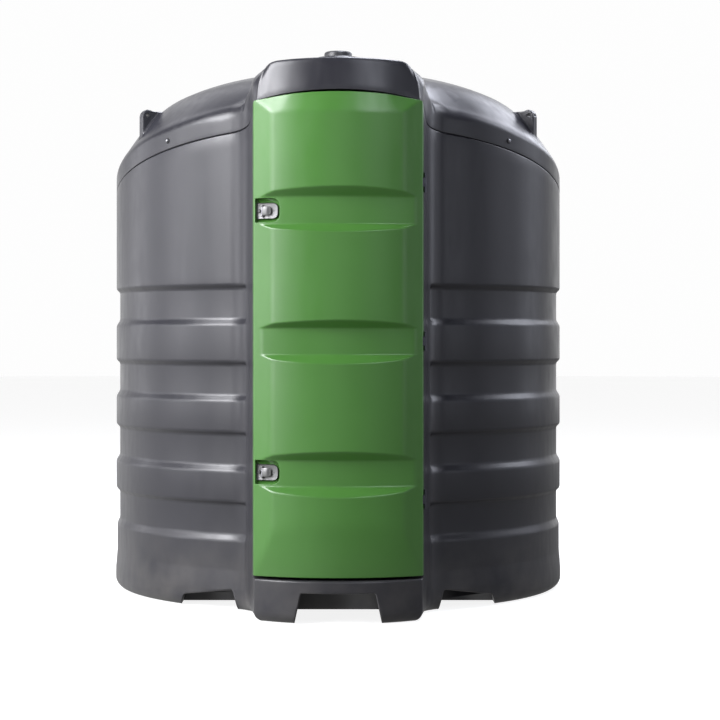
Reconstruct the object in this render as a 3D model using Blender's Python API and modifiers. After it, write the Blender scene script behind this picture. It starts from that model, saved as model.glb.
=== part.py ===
"""Diesel tank: a round plastic shell with recessed bands, a domed lid on a slanted seam,
and a full-height cabinet with a hinged door in front.

Metres, +Z up. The origin is on the tank's upright axis at ground level, and the front faces -Y.
Depths named "forward" are measured from the axis towards the front, so y = -forward.
"""
import math

import bmesh
import bpy
from mathutils import Matrix, Vector

# Fits
GAP = 0.0003
WALL = 0.012
OVERSIZE = 0.05

# Round shell
RIB_RADIUS = 1.222
BAND_DEPTH = 0.019
BASE_DEPTH = 0.005
SKIRT_PROUD = 0.003
BASE_TOP = 0.150
BASE_STEP_TOP = 0.176
RIBS = ((0.541, 0.689), (0.888, 1.039), (1.237, 1.420))
LOWEST_BAND = (0.374, 0.524)
UPPER_SHELL_BOTTOM = 1.619
BAND_TOP_CHAMFER = 0.018
BAND_FOOT_SLOPE = 0.031
BASE_EDGE = 0.050
CIRCLE_STEPS = 20
SEGMENTS_PER_SIDE = 4

# Plan of the cabinet, right half: fillet from the round shell, side, front corner
FILLET_START_X = 0.550
FILLET_END = (0.431, 1.270)
CORNER = (0.404, 1.490)
FRONT_FORWARD = 1.625
FILLET_STEPS = 8
BAND_END_STEP = 4
COLUMN_START_STEP = 1
COLUMN_FRONT = 1.430

# Seam between shell and lid: a plane that climbs towards the front
SEAM_AT_AXIS = 2.107
SEAM_SLOPE = 0.243
SEAM_FRONT_LIFT = 0.019
LIFT_START = 1.270
LIFT_END = 1.430

# Lid
RIM_HEIGHT = 0.100
RIM_PROUD = 0.002
DOME_RADIUS = 1.205
DOME_MERIDIANS = 40
DOME_FRONT = 1.050
# Radius of the dome, and its rise above the rim there, from the rim to the crown
DOME_PROFILE = (
    (1.205, 0.000), (1.180, 0.059), (1.150, 0.1155), (1.100, 0.191), (1.050, 0.254),
    (1.000, 0.305), (0.950, 0.342), (0.850, 0.404), (0.700, 0.475), (0.500, 0.538),
    (0.300, 0.570), (0.136, 0.577), (0.000, 0.579),
)

# Hood over the door: share of the half width, and height, from the eaves to the middle
HOOD_SECTION = (
    (1.000, 2.542), (0.985, 2.567), (0.955, 2.592), (0.907, 2.618),
    (0.862, 2.643), (0.817, 2.668), (0.740, 2.677), (0.560, 2.681), (0.280, 2.684),
    (0.000, 2.686),
)
DOME_SECTION_SHARES = (1.000, 0.955, 0.930, 0.895, 0.850, 0.770, 0.690, 0.540, 0.270, 0.000)
# Height of the hood's shoulder along its side: forward, height
HOOD_SHOULDER = ((1.270, 2.580), (1.370, 2.590), (1.490, 2.542))
HOOD_EDGE = 0.008

# Cabinet
CABINET_HALF = 0.348
CABINET_BACK = 1.050
FOOT_TOP = 0.205
FOOT_HALF = 0.488
ARCH_HALF = 0.200
ARCH_TOP = 0.153
ARCH_BACK = 1.0745
FOOT_EDGE = 0.040

# Pockets in the base for forks
POCKET_SECTION = ((0.504, 0.000), (0.529, 0.1015), (0.777, 0.059), (0.797, 0.000))
POCKET_BACK = 0.740
POCKET_WALL_X = 0.812
BASE_RING_END_ANGLE = math.radians(135.2)
BASE_RING_STEPS = 18
BASE_TOE = 0.058

# Door
DOOR_BOTTOM = 0.218
DOOR_BACK = 1.4355
DOOR_TOP_CLEARANCE = 0.006
DOOR_SKIN = 0.010
DOOR_REBATE_HALF = 0.350
DOOR_BACK_ARC = 1.530
PANEL_HALF = 0.318
PANEL_RADIUS = 0.780
BAND_FLOOR_FORWARD = 1.580
BAND_FLOOR_RADIUS = 1.120
# Each band: lower lip, floor from, floor to, upper lip
DOOR_BANDS = (
    (1.858, 1.894, 2.026, 2.071), (1.232, 1.274, 1.401, 1.439), (0.601, 0.649, 0.772, 0.817),
)
TOP_BEVEL_START = 2.428
TOP_BEVEL_SLOPE = 0.30
# Facet at each top corner of the door: how fast it falls back sideways and upwards
TOP_FACET_SLOPES = (0.467, 0.383)
BOTTOM_BEVEL_START = 0.469
BOTTOM_BEVEL_SLOPE = 0.13
BOTTOM_ARC_RADIUS = 0.840

# Hinges on the door's right edge
HINGE_AXIS = (0.4175, -1.4400)
HINGE_HEIGHTS = (2.1015, 1.339, 0.580)
HINGE_LENGTH = 0.092
HINGE_RADIUS = 0.0065
HINGE_PIN_RADIUS = 0.003
HINGE_LEAF = 0.003
HINGE_LEAF_REACH = 0.060

# Paddle latches at the door's left edge
LATCH_HEIGHTS = {"upper": 1.9605, "lower": 0.713}
LATCH_X = -0.3435
LATCH_FORWARD = 1.5198
LATCH_TILT = math.radians(22.0)
POCKET_SIZE = (0.132, 0.118)
POCKET_SHIFT = (0.0055, 0.0015)
POCKET_CORNERS = (0.006, 0.042)
POCKET_DEPTH = 0.022
PLATE_SIZE = (0.112, 0.077)
PLATE_CORNERS = (0.004, 0.030)
PLATE_BASE = 0.0025
PLATE_RIM = 0.009
PLATE_RIM_WIDTH = 0.003
PADDLE_PIVOT_U = -0.026
PADDLE_PIVOT_DEPTH = 0.0105
PADDLE_LENGTH = 0.048
PADDLE_HALF_HEIGHT = 0.021
PADDLE_THICKNESS = 0.004
PADDLE_BARREL = 0.0036
PADDLE_PIN = 0.0018
PIVOT_LUG = 0.006
LOCK_U = -0.043
LOCK_RADIUS = 0.008

# Lifting lugs on the shoulders: plates that stand along a radius of the dome
LUG_ANGLE = math.radians(62.0)
LUG_THICKNESS = 0.050
# Outline by distance from the tank's axis and height
LUG_OUTLINE = (
    (1.176, 2.220), (1.176, 2.523), (1.170, 2.538), (1.160, 2.550), (1.147, 2.557),
    (1.134, 2.555), (1.121, 2.550), (1.103, 2.548), (1.045, 2.548), (1.045, 2.220),
)
LUG_HOLE = (1.1475, 2.5265)
LUG_HOLE_RADIUS = 0.010

# Hatch on the crown
COLLAR_RADIUS = 0.136
COLLAR_TOP = 2.905
CAP_RADIUS = 0.077
CAP_TOP_RADIUS = 0.064
CAP_TOP = 2.941

GREY = (0.120, 0.120, 0.130)
GREEN = (0.130, 0.330, 0.090)
STEEL = (0.620, 0.620, 0.640)
DARK = (0.030, 0.030, 0.032)


def clear_scene():
    """Remove whatever the file holds."""
    for obj in list(bpy.data.objects):
        bpy.data.objects.remove(obj, do_unlink=True)


def new_collection(name):
    """Make a collection in the scene."""
    collection = bpy.data.collections.new(name)
    bpy.context.scene.collection.children.link(collection)
    return collection


def principled(name, color, roughness, metallic=0.0):
    """Make a plain Principled material."""
    material = bpy.data.materials.new(name)
    material.use_nodes = True
    shader = material.node_tree.nodes["Principled BSDF"]
    shader.inputs["Base Color"].default_value = (*color, 1.0)
    shader.inputs["Roughness"].default_value = roughness
    shader.inputs["Metallic"].default_value = metallic
    return material


def add_object(name, mesh, material, collection):
    """Wrap a mesh in a named object with its own material."""
    obj = bpy.data.objects.new(name, mesh)
    if material is not None:
        own = material.copy()
        own.name = name + "_finish"
        mesh.materials.append(own)
    collection.objects.link(obj)
    return obj


def finish_mesh(name, bm, smooth_degrees=30.0):
    """Turn a bmesh into a mesh with its faces pointing out."""
    bmesh.ops.recalc_face_normals(bm, faces=bm.faces)
    mesh = bpy.data.meshes.new(name)
    bm.to_mesh(mesh)
    bm.free()
    mesh.shade_smooth()
    mesh.set_sharp_from_angle(angle=math.radians(smooth_degrees))
    return mesh


def loft_bmesh(rings):
    """Join closed rings of points, one after the other, and cap both ends."""
    bm = bmesh.new()
    rows = [[bm.verts.new(point) for point in ring] for ring in rings]
    count = len(rows[0])
    for row, following in zip(rows, rows[1:]):
        for i in range(count):
            j = (i + 1) % count
            bm.faces.new((row[i], row[j], following[j], following[i]))
    bm.faces.new(rows[0])
    bm.faces.new(rows[-1])
    return bm


def cut_away(bm, point, normal):
    """Cut off what lies on the normal's side of a plane, and close the cut."""
    geometry = bm.verts[:] + bm.edges[:] + bm.faces[:]
    result = bmesh.ops.bisect_plane(
        bm, geom=geometry, plane_co=point, plane_no=normal, clear_outer=True, dist=1e-6)
    edges = [item for item in result["geom_cut"] if isinstance(item, bmesh.types.BMEdge)]
    bmesh.ops.holes_fill(bm, edges=edges, sides=0)


def extruded(outline, low, high):
    """A straight block on a plan outline, between two heights."""
    return loft_bmesh([[Vector((x, y, z)) for x, y in outline] for z in (low, high)])


def box_bmesh(low, high):
    """A box between two corners."""
    bm = bmesh.new()
    bmesh.ops.create_cube(bm, size=1.0)
    size = [b - a for a, b in zip(low, high)]
    middle = [(a + b) / 2 for a, b in zip(low, high)]
    bmesh.ops.scale(bm, vec=size, verts=bm.verts)
    bmesh.ops.translate(bm, vec=middle, verts=bm.verts)
    return bm


def cylinder_bmesh(radius, low, high, sides=16, top_radius=None):
    """An upright cylinder or cone on the origin's axis."""
    bm = bmesh.new()
    upper = radius if top_radius is None else top_radius
    bmesh.ops.create_cone(
        bm, cap_ends=True, segments=sides, radius1=radius, radius2=upper, depth=high - low)
    bmesh.ops.translate(bm, vec=(0, 0, (low + high) / 2), verts=bm.verts)
    return bm


def boolean(obj, cutter, operation="DIFFERENCE"):
    """Cut one object with another, or join them."""
    modifier = obj.modifiers.new(operation.lower() + "_" + cutter.name, "BOOLEAN")
    modifier.operation = operation
    modifier.object = cutter
    modifier.solver = "EXACT"


def tool(name, bm, cutters):
    """A hidden solid that cuts or joins others."""
    obj = add_object(name, finish_mesh(name, bm), None, cutters)
    obj.hide_render = True
    obj.display_type = "WIRE"
    return obj


def seam_height(forward):
    """Height of the seam between shell and lid."""
    share = min(max((forward - LIFT_START) / (LIFT_END - LIFT_START), 0.0), 1.0)
    return SEAM_AT_AXIS + SEAM_SLOPE * forward + SEAM_FRONT_LIFT * share


def dome_rise(radius):
    """Rise of the dome above its rim, between the points of its profile."""
    for (outer, low), (inner, high) in zip(DOME_PROFILE, DOME_PROFILE[1:]):
        if radius >= inner:
            return low + (high - low) * (outer - min(radius, outer)) / (outer - inner)
    return DOME_PROFILE[-1][1]


def dome_height(radius, forward):
    """Height of the dome's outer surface."""
    share = min(radius / DOME_RADIUS, 1.0)
    lean = SEAM_SLOPE * forward * share ** 2
    return SEAM_AT_AXIS + RIM_HEIGHT + lean + dome_rise(radius)


def arc_forward(x, middle, radius):
    """Forward reach of an arc across the front, at a distance x from the middle."""
    return middle - radius + math.sqrt(radius ** 2 - x ** 2)


def front_radius():
    """Radius of the arc through both front corners and the foremost point."""
    half, forward = CORNER
    rise = FRONT_FORWARD - forward
    return (half ** 2 + rise ** 2) / (2 * rise)


def front_forward(x):
    """Forward reach of the hood's and the foot's front."""
    return arc_forward(x, FRONT_FORWARD, front_radius())


def fillet_points():
    """Points of the concave fillet between round shell and cabinet, right side."""
    start = Vector((FILLET_START_X, -math.sqrt(RIB_RADIUS ** 2 - FILLET_START_X ** 2)))
    end = Vector((FILLET_END[0], -FILLET_END[1]))
    corner = Vector((CORNER[0], -CORNER[1]))
    along_circle = Vector((start.y, -start.x)).normalized()
    along_side = (corner - end).normalized()
    cross = along_circle.cross(along_side)
    reach = (end - start).cross(along_side) / cross
    middle = start + along_circle * reach
    points = []
    for step in range(FILLET_STEPS + 1):
        t = step / FILLET_STEPS
        points.append(start * (1 - t) ** 2 + middle * 2 * t * (1 - t) + end * t ** 2)
    return points


def outline_stations():
    """Right half of the plan, from the rear middle to the column's front end.

    Each station is a point on the rib surface, its outward normal, and 1 or 0 for whether
    the bands are recessed there.
    """
    end_angle = math.pi - math.asin(FILLET_START_X / RIB_RADIUS)
    stations = []
    for step in range(CIRCLE_STEPS):
        angle = end_angle * step / CIRCLE_STEPS
        normal = Vector((math.sin(angle), math.cos(angle)))
        stations.append((normal * RIB_RADIUS, normal, 1.0))
    points = fillet_points()
    side = Vector(CORNER) - Vector(FILLET_END)
    share = (COLUMN_FRONT - FILLET_END[1]) / side.y
    points.append(Vector((FILLET_END[0] + side.x * share, -COLUMN_FRONT)))
    for i, point in enumerate(points):
        before = points[i - 1] if i else stations[-1][0]
        after = points[min(i + 1, len(points) - 1)]
        along = (after - before).normalized()
        normal = Vector((-along.y, along.x))
        if normal.dot(point) < 0:
            normal = -normal
        recessed = 1.0 if i <= BAND_END_STEP else 0.0
        stations.append((point, normal, recessed))
    return stations


def shell_levels():
    """Height and depth below the rib surface, from the base up to the upper shell."""
    levels = [(BASE_TOP, -SKIRT_PROUD), (BASE_STEP_TOP, BASE_DEPTH)]
    levels.append((LOWEST_BAND[0] - BAND_FOOT_SLOPE, BASE_DEPTH))
    levels.append((LOWEST_BAND[0], BAND_DEPTH))
    for low, high in RIBS:
        levels.append((low - BAND_TOP_CHAMFER, BAND_DEPTH))
        levels.append((low, 0.0))
        levels.append((high, 0.0))
        levels.append((high + BAND_FOOT_SLOPE, BAND_DEPTH))
    levels.append((UPPER_SHELL_BOTTOM - BAND_TOP_CHAMFER, BAND_DEPTH))
    levels.append((UPPER_SHELL_BOTTOM, 0.0))
    return levels


def plan_point(station, depth, z, side):
    """A point at a depth behind the rib surface, mirrored for the left side."""
    point, normal, _ = station
    placed = point - normal * depth
    return Vector((placed.x * side, placed.y, z))


def wall_ring(station, side, low):
    """Closed upright section through the wall at one station."""
    recessed = station[2]
    levels = [(z, depth * recessed) for z, depth in shell_levels() if z > low]
    levels.insert(0, (low, levels[0][1] if low > BASE_TOP else -SKIRT_PROUD * recessed))
    outer = [plan_point(station, depth, z, side) for z, depth in levels]
    inner = [plan_point(station, depth + WALL, z, side) for z, depth in levels]
    outer_top = plan_point(station, 0.0, 0.0, side)
    outer_top.z = seam_height(-outer_top.y) - GAP
    inner_top = plan_point(station, WALL, 0.0, side)
    inner_top.z = seam_height(-inner_top.y) - GAP
    return outer + [outer_top, inner_top] + inner[::-1]


def shifted(station, other, distance):
    """A station moved a small way along the outline towards another."""
    point = station[0] + (other[0] - station[0]).normalized() * distance
    return (point, station[1], station[2])


def trimmed(stations):
    """The stations of one piece, with its ends pulled in by half a gap."""
    first = shifted(stations[0], stations[1], GAP / 2)
    last = shifted(stations[-1], stations[-2], GAP / 2)
    return [first] + stations[1:-1] + [last]


def make_walls(stations, parts, grey):
    """Round wall in segments, and the column beside the door, on both sides."""
    names = ("rear_wall", "rear_side_wall", "side_wall", "front_wall")
    steps = CIRCLE_STEPS // SEGMENTS_PER_SIDE
    for side, word in ((1, "right"), (-1, "left")):
        for index, name in enumerate(names):
            start = index * steps
            end = start + steps
            if index == len(names) - 1:
                end += COLUMN_START_STEP
            piece = trimmed(stations[start:end + 1])
            bm = loft_bmesh([wall_ring(station, side, BASE_TOP) for station in piece])
            full = name + "_" + word
            add_object(full, finish_mesh(full, bm), grey, parts)
        piece = trimmed(stations[CIRCLE_STEPS + COLUMN_START_STEP:])
        bm = loft_bmesh([wall_ring(station, side, FOOT_TOP + GAP) for station in piece])
        full = "cabinet_column_" + word
        add_object(full, finish_mesh(full, bm), grey, parts)


def base_ring_section(station, side):
    """Closed upright section of the base ring, with its rounded lower edge."""
    outer = []
    turns = 3
    for turn in range(turns + 1):
        angle = math.pi / 2 * turn / turns
        depth = BASE_EDGE * (1 - math.sin(angle)) - SKIRT_PROUD
        height = BASE_EDGE * (1 - math.cos(angle))
        outer.append(plan_point(station, depth, height, side))
    top = BASE_TOP - GAP
    outer.append(plan_point(station, -SKIRT_PROUD, top, side))
    inner = (
        (WALL - SKIRT_PROUD, top), (WALL - SKIRT_PROUD, BASE_EDGE),
        (BASE_EDGE * 0.55, WALL * 1.6), (BASE_TOE, WALL), (BASE_TOE, 0.0),
    )
    return outer + [plan_point(station, depth, z, side) for depth, z in inner]


def base_ring_angles():
    """Angles of the base ring's stations, from the rear middle to the pocket."""
    return [BASE_RING_END_ANGLE * step / BASE_RING_STEPS for step in range(BASE_RING_STEPS + 1)]


def circle_station(angle):
    """A station on the round shell at any angle from the rear."""
    normal = Vector((math.sin(angle), math.cos(angle)))
    return (normal * RIB_RADIUS, normal, 1.0)


def make_base(parts, grey):
    """Base ring in four pieces, from the rear middle to the pockets."""
    names = ("rear_base", "side_base")
    per_piece = BASE_RING_STEPS // len(names)
    angles = base_ring_angles()
    for side, word in ((1, "right"), (-1, "left")):
        for index, name in enumerate(names):
            start = index * per_piece
            some = angles[start:start + per_piece + 1]
            piece = trimmed([circle_station(angle) for angle in some])
            bm = loft_bmesh([base_ring_section(station, side) for station in piece])
            full = name + "_" + word
            add_object(full, finish_mesh(full, bm), grey, parts)


def outline_between(stations, low_x, high_x, proud):
    """Points of the plan in front of the axis, from high x to low x, standing proud."""
    points = []
    for point, normal, _ in stations:
        placed = point + normal * proud
        if low_x < placed.x < high_x and placed.y < 0:
            points.append((placed.x, placed.y))
    return points


def crossing_y(points, x):
    """Where an outline that runs towards lower x crosses a given x."""
    for (x0, y0), (x1, y1) in zip(points, points[1:]):
        if x1 <= x <= x0:
            return y0 + (y1 - y0) * (x0 - x) / (x0 - x1)
    return points[-1][1]


def make_pockets(stations, parts, cutters, grey):
    """Blocks in the base that hold the fork pockets, one each side."""
    direction = Vector((math.sin(BASE_RING_END_ANGLE), math.cos(BASE_RING_END_ANGLE)))
    outer_corner = direction * (RIB_RADIUS + SKIRT_PROUD)
    inner_corner = direction * (POCKET_WALL_X / direction.x)
    curve = outline_between(stations, 0.3, outer_corner.x - 0.005, SKIRT_PROUD)
    wide = outline_between(stations, 0.3, 1.3, SKIRT_PROUD)
    low_x = FOOT_HALF + GAP
    front_y = crossing_y(wide, low_x)
    front = [point for point in curve if point[0] > low_x + 0.003]
    back = -(POCKET_BACK - WALL)
    outline = [(low_x, back), (POCKET_WALL_X, back)]
    outline += [(inner_corner.x, inner_corner.y), (outer_corner.x, outer_corner.y)]
    outline += front + [(low_x, front_y)]
    for side, word in ((1, "right"), (-1, "left")):
        mirrored = [(x * side, y) for x, y in outline]
        full = "fork_pocket_" + word
        block = add_object(
            full, finish_mesh(full, extruded(mirrored, 0.0, BASE_TOP - GAP)), grey, parts)
        section = [(POCKET_SECTION[0][0], -OVERSIZE), *POCKET_SECTION]
        section.append((POCKET_SECTION[-1][0], -OVERSIZE))
        rings = [[Vector((x * side, y, z)) for x, z in section] for y in (-1.4, -POCKET_BACK)]
        boolean(block, tool("pocket_cut_" + word, loft_bmesh(rings), cutters))
    return outline


def foot_outline(stations):
    """Plan of the cabinet's foot, right half, from its rear corner to the middle."""
    wide = outline_between(stations, 0.3, 1.3, 0.0)
    points = [(FOOT_HALF, crossing_y(wide, FOOT_HALF))]
    points += [point for point in wide if point[0] < FOOT_HALF - 0.003]
    points.append((CORNER[0], -CORNER[1]))
    steps = 8
    for step in range(1, steps + 1):
        x = CORNER[0] * (1 - step / steps)
        points.append((x, -front_forward(x)))
    return points


def inset_outline(points, distance):
    """Pull a closed outline in by a small distance."""
    count = len(points)
    area = sum(
        points[i][0] * points[(i + 1) % count][1] - points[(i + 1) % count][0] * points[i][1]
        for i in range(count))
    turn = 1.0 if area > 0 else -1.0
    result = []
    for i in range(count):
        here = Vector(points[i])
        before = (here - Vector(points[i - 1])).normalized()
        after = (Vector(points[(i + 1) % count]) - here).normalized()
        first = Vector((-before.y, before.x)) * turn
        second = Vector((-after.y, after.x)) * turn
        middle = (first + second).normalized()
        moved = here + middle * distance / max(middle.dot(first), 0.4)
        result.append((moved.x, moved.y))
    return result


def make_foot(stations, parts, cutters, grey):
    """Cabinet foot: one block with an arch, and a flat top that is the cabinet's floor."""
    right = foot_outline(stations)
    left = [(-x, y) for x, y in right[-2::-1]]
    back = -(CABINET_BACK + WALL + GAP)
    outline = [(FOOT_HALF, back)] + right + left + [(-FOOT_HALF, back)]
    rings = []
    turns = 3
    for turn in range(turns + 1):
        angle = math.pi / 2 * turn / turns
        inset = FOOT_EDGE * (1 - math.sin(angle))
        height = FOOT_EDGE * (1 - math.cos(angle))
        shape = inset_outline(outline, inset) if inset > 1e-6 else outline
        rings.append([Vector((x, y, height)) for x, y in shape])
    rings.append([Vector((x, y, FOOT_TOP)) for x, y in outline])
    foot = add_object(
        "cabinet_foot", finish_mesh("cabinet_foot", loft_bmesh(rings)), grey, parts)
    flare = 0.040
    corner = 0.012
    arch = [(-ARCH_HALF - flare, -OVERSIZE), (-ARCH_HALF, ARCH_TOP - corner)]
    arch += [(-ARCH_HALF + corner, ARCH_TOP), (ARCH_HALF - corner, ARCH_TOP)]
    arch += [(ARCH_HALF, ARCH_TOP - corner), (ARCH_HALF + flare, -OVERSIZE)]
    rings = [[Vector((x, y, z)) for x, z in arch] for y in (-ARCH_BACK, -1.8)]
    boolean(foot, tool("arch_cut", loft_bmesh(rings), cutters))


def make_floor(block, parts, cutters, grey):
    """Flat bottom of the tank, cut round the pockets and behind the foot."""
    radius = RIB_RADIUS - BASE_TOE - GAP
    angles = base_ring_angles()
    step = angles[1]
    angle = angles[-1] + step
    while angle < math.pi:
        angles.append(angle)
        angle += step
    right = [(radius * math.sin(a), radius * math.cos(a)) for a in angles]
    outline = right + [(-x, y) for x, y in right[:0:-1]]
    bm = extruded(outline, 0.0, WALL)
    floor = add_object("tank_floor", finish_mesh("tank_floor", bm), grey, parts)
    reach = 1.5
    front = box_bmesh((-reach, -reach, -OVERSIZE), (reach, -(CABINET_BACK + WALL), OVERSIZE))
    boolean(floor, tool("floor_front_cut", front, cutters))
    wide = inset_outline(block, -GAP)
    for side, word in ((1, "right"), (-1, "left")):
        bm = extruded([(x * side, y) for x, y in wide], -OVERSIZE, OVERSIZE)
        boolean(floor, tool("floor_pocket_cut_" + word, bm, cutters))


def make_cabinet_lining(parts, grey):
    """Back and sides of the cabinet behind the door."""
    half = CABINET_HALF + WALL
    shares = (1.0, 0.75, 0.5, 0.25, 0.0)
    clearance = 0.030
    top = []
    for share in shares:
        x = half * share
        top.append((x, dome_height(math.hypot(x, CABINET_BACK), CABINET_BACK) - clearance))
    outline = [(half, FOOT_TOP + GAP)] + top
    outline += [(-x, z) for x, z in top[-2::-1]] + [(-half, FOOT_TOP + GAP)]
    rings = [
        [Vector((x, y, z)) for x, z in outline]
        for y in (-(CABINET_BACK + GAP), -(CABINET_BACK + WALL))
    ]
    add_object("cabinet_back", finish_mesh("cabinet_back", loft_bmesh(rings)), grey, parts)
    back = -(CABINET_BACK + WALL + GAP)
    jamb = CORNER[0] + 0.0074 - WALL - GAP
    plan = [
        (CABINET_HALF, back), (CABINET_HALF, -COLUMN_FRONT), (jamb, -COLUMN_FRONT),
        (jamb - 0.002, -(COLUMN_FRONT - WALL)), (CABINET_HALF + WALL, -(COLUMN_FRONT - WALL)),
        (CABINET_HALF + WALL, back),
    ]
    for side, word in ((1, "right"), (-1, "left")):
        mirrored = [(x * side, y) for x, y in plan]
        bm = extruded(mirrored, FOOT_TOP + GAP, 3.0)
        for vert in bm.verts:
            if vert.co.z > 2.0:
                vert.co.z = seam_height(-vert.co.y) - GAP
        full = "cabinet_side_" + word
        add_object(full, finish_mesh(full, bm), grey, parts)


def rim_section(station, side):
    """Closed section of the lid's rim: an upright skirt and an inward ledge."""
    top = RIM_HEIGHT
    shape = (
        (-RIM_PROUD, 0.0), (-RIM_PROUD, top - 0.012), (0.002, top - 0.003), (0.010, top),
        (0.034, top), (0.034, top - WALL), (WALL - RIM_PROUD, top - WALL),
        (WALL - RIM_PROUD, 0.0),
    )
    points = []
    for depth, above in shape:
        point = plan_point(station, depth, 0.0, side)
        point.z = SEAM_AT_AXIS + SEAM_SLOPE * -point.y + above
        points.append(point)
    return points


def make_rim(stations, parts, grey):
    """Rim of the lid, in two pieces a side, stopping where the hood starts."""
    middle = CIRCLE_STEPS // 2
    pieces = (("rear_lid_rim", 0, middle), ("side_lid_rim", middle, CIRCLE_STEPS + 1))
    for side, word in ((1, "right"), (-1, "left")):
        for name, start, end in pieces:
            piece = trimmed(stations[start:end + 1])
            bm = loft_bmesh([rim_section(station, side) for station in piece])
            if name == "side_lid_rim":
                cut_away(bm, (0, -DOME_FRONT, 0), (0, -1, 0))
            full = name + "_" + word
            add_object(full, finish_mesh(full, bm), grey, parts)


def dome_rows():
    """Outer and inner radius and rise of the dome, from the rim to the crown."""
    rows = []
    for radius, _ in DOME_PROFILE[:-1]:
        step = 0.002
        low = dome_height(min(radius + step, DOME_RADIUS), 0.0)
        high = dome_height(radius - step, 0.0)
        slope = Vector((2 * step, high - low)).normalized()
        if radius > DOME_RADIUS - 1e-6:
            slope = Vector((0.0, 1.0))
        normal = Vector((slope.y, slope.x))
        rows.append((radius, radius - normal.x * WALL, -normal.y * WALL))
    return rows


def band_of_triangles(bm, row, following):
    """Faces between two closed rows of vertices, split the same way everywhere."""
    count = len(row)
    for i in range(count):
        j = (i + 1) % count
        bm.faces.new((row[i], row[j], following[j]))
        bm.faces.new((row[i], following[j], following[i]))


def dome_outer_rows(bm, lift):
    """Vertices of the dome's outer surface, raised a little."""
    rows = []
    for radius, _ in DOME_PROFILE[:-1]:
        row = []
        for step in range(DOME_MERIDIANS):
            angle = 2 * math.pi * step / DOME_MERIDIANS
            x, y = radius * math.sin(angle), radius * math.cos(angle)
            row.append(bm.verts.new((x, y, dome_height(radius, -y) + lift)))
        rows.append(row)
    return rows


def make_dome(parts, grey):
    """Domed lid: a shell that ends at the hood's rear edge."""
    bm = bmesh.new()
    outer_rows = dome_outer_rows(bm, GAP)
    inner_rows = []
    for (radius, inner_radius, drop), outer in zip(dome_rows(), outer_rows):
        share = inner_radius / radius
        tilt = SEAM_SLOPE * (1 - share) * (radius / DOME_RADIUS) ** 2
        inner_rows.append([
            bm.verts.new((
                vert.co.x * share, vert.co.y * share, vert.co.z + drop + tilt * vert.co.y))
            for vert in outer
        ])
    for rows in (outer_rows, inner_rows):
        for row, following in zip(rows, rows[1:]):
            band_of_triangles(bm, row, following)
    band_of_triangles(bm, outer_rows[0], inner_rows[0])
    count = DOME_MERIDIANS
    for row, drop in ((outer_rows[-1], 0.0), (inner_rows[-1], -WALL)):
        crown = bm.verts.new((0, 0, dome_height(0.0, 0.0) + GAP + drop))
        for i in range(count):
            bm.faces.new((row[i], row[(i + 1) % count], crown))
    cut_away(bm, (0, -DOME_FRONT, 0), (0, -1, 0))
    add_object("lid_dome", finish_mesh("lid_dome", bm), grey, parts)


def dome_section():
    """The lid's own section where the hood starts, as shares of its half width."""
    half = math.sqrt(RIB_RADIUS ** 2 - DOME_FRONT ** 2)
    section = []
    for share in DOME_SECTION_SHARES:
        radius = math.hypot(half * share, DOME_FRONT)
        section.append((share, dome_height(radius, DOME_FRONT)))
    return section


def shoulder_height(forward):
    """Height of the hood's shoulder at a station."""
    points = HOOD_SHOULDER
    if forward <= points[0][0]:
        return points[0][1]
    for (f0, z0), (f1, z1) in zip(points, points[1:]):
        if forward <= f1:
            return z0 + (z1 - z0) * (forward - f0) / (f1 - f0)
    return points[-1][1]


def hood_section(forward):
    """The hood's section at a station, with its shoulder at the height there."""
    low = HOOD_SECTION[0][1]
    top = HOOD_SECTION[5][1]
    rise = shoulder_height(forward) - low
    section = []
    for share, z in HOOD_SECTION:
        lift = rise * max(top - z, 0.0) / (top - low)
        section.append((share, z + lift))
    return section


def hood_ring(half, forward_of, blend, trim, drop):
    """Points over the hood at one station, from the right eaves to the left."""
    right = []
    section = hood_section(forward_of(half - trim))
    for (share_a, z_a), (share_b, z_b) in zip(dome_section(), section):
        share = share_a + (share_b - share_a) * blend
        x = share * (half - trim)
        right.append(Vector((x, -forward_of(x), z_a + (z_b - z_a) * blend - drop)))
    eaves_x = half - trim
    eaves = Vector((eaves_x, -forward_of(eaves_x), 0.0))
    eaves.z = seam_height(-eaves.y) + GAP
    right.insert(0, eaves)
    left = [Vector((-point.x, point.y, point.z)) for point in right[-2::-1]]
    return right + left


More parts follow.
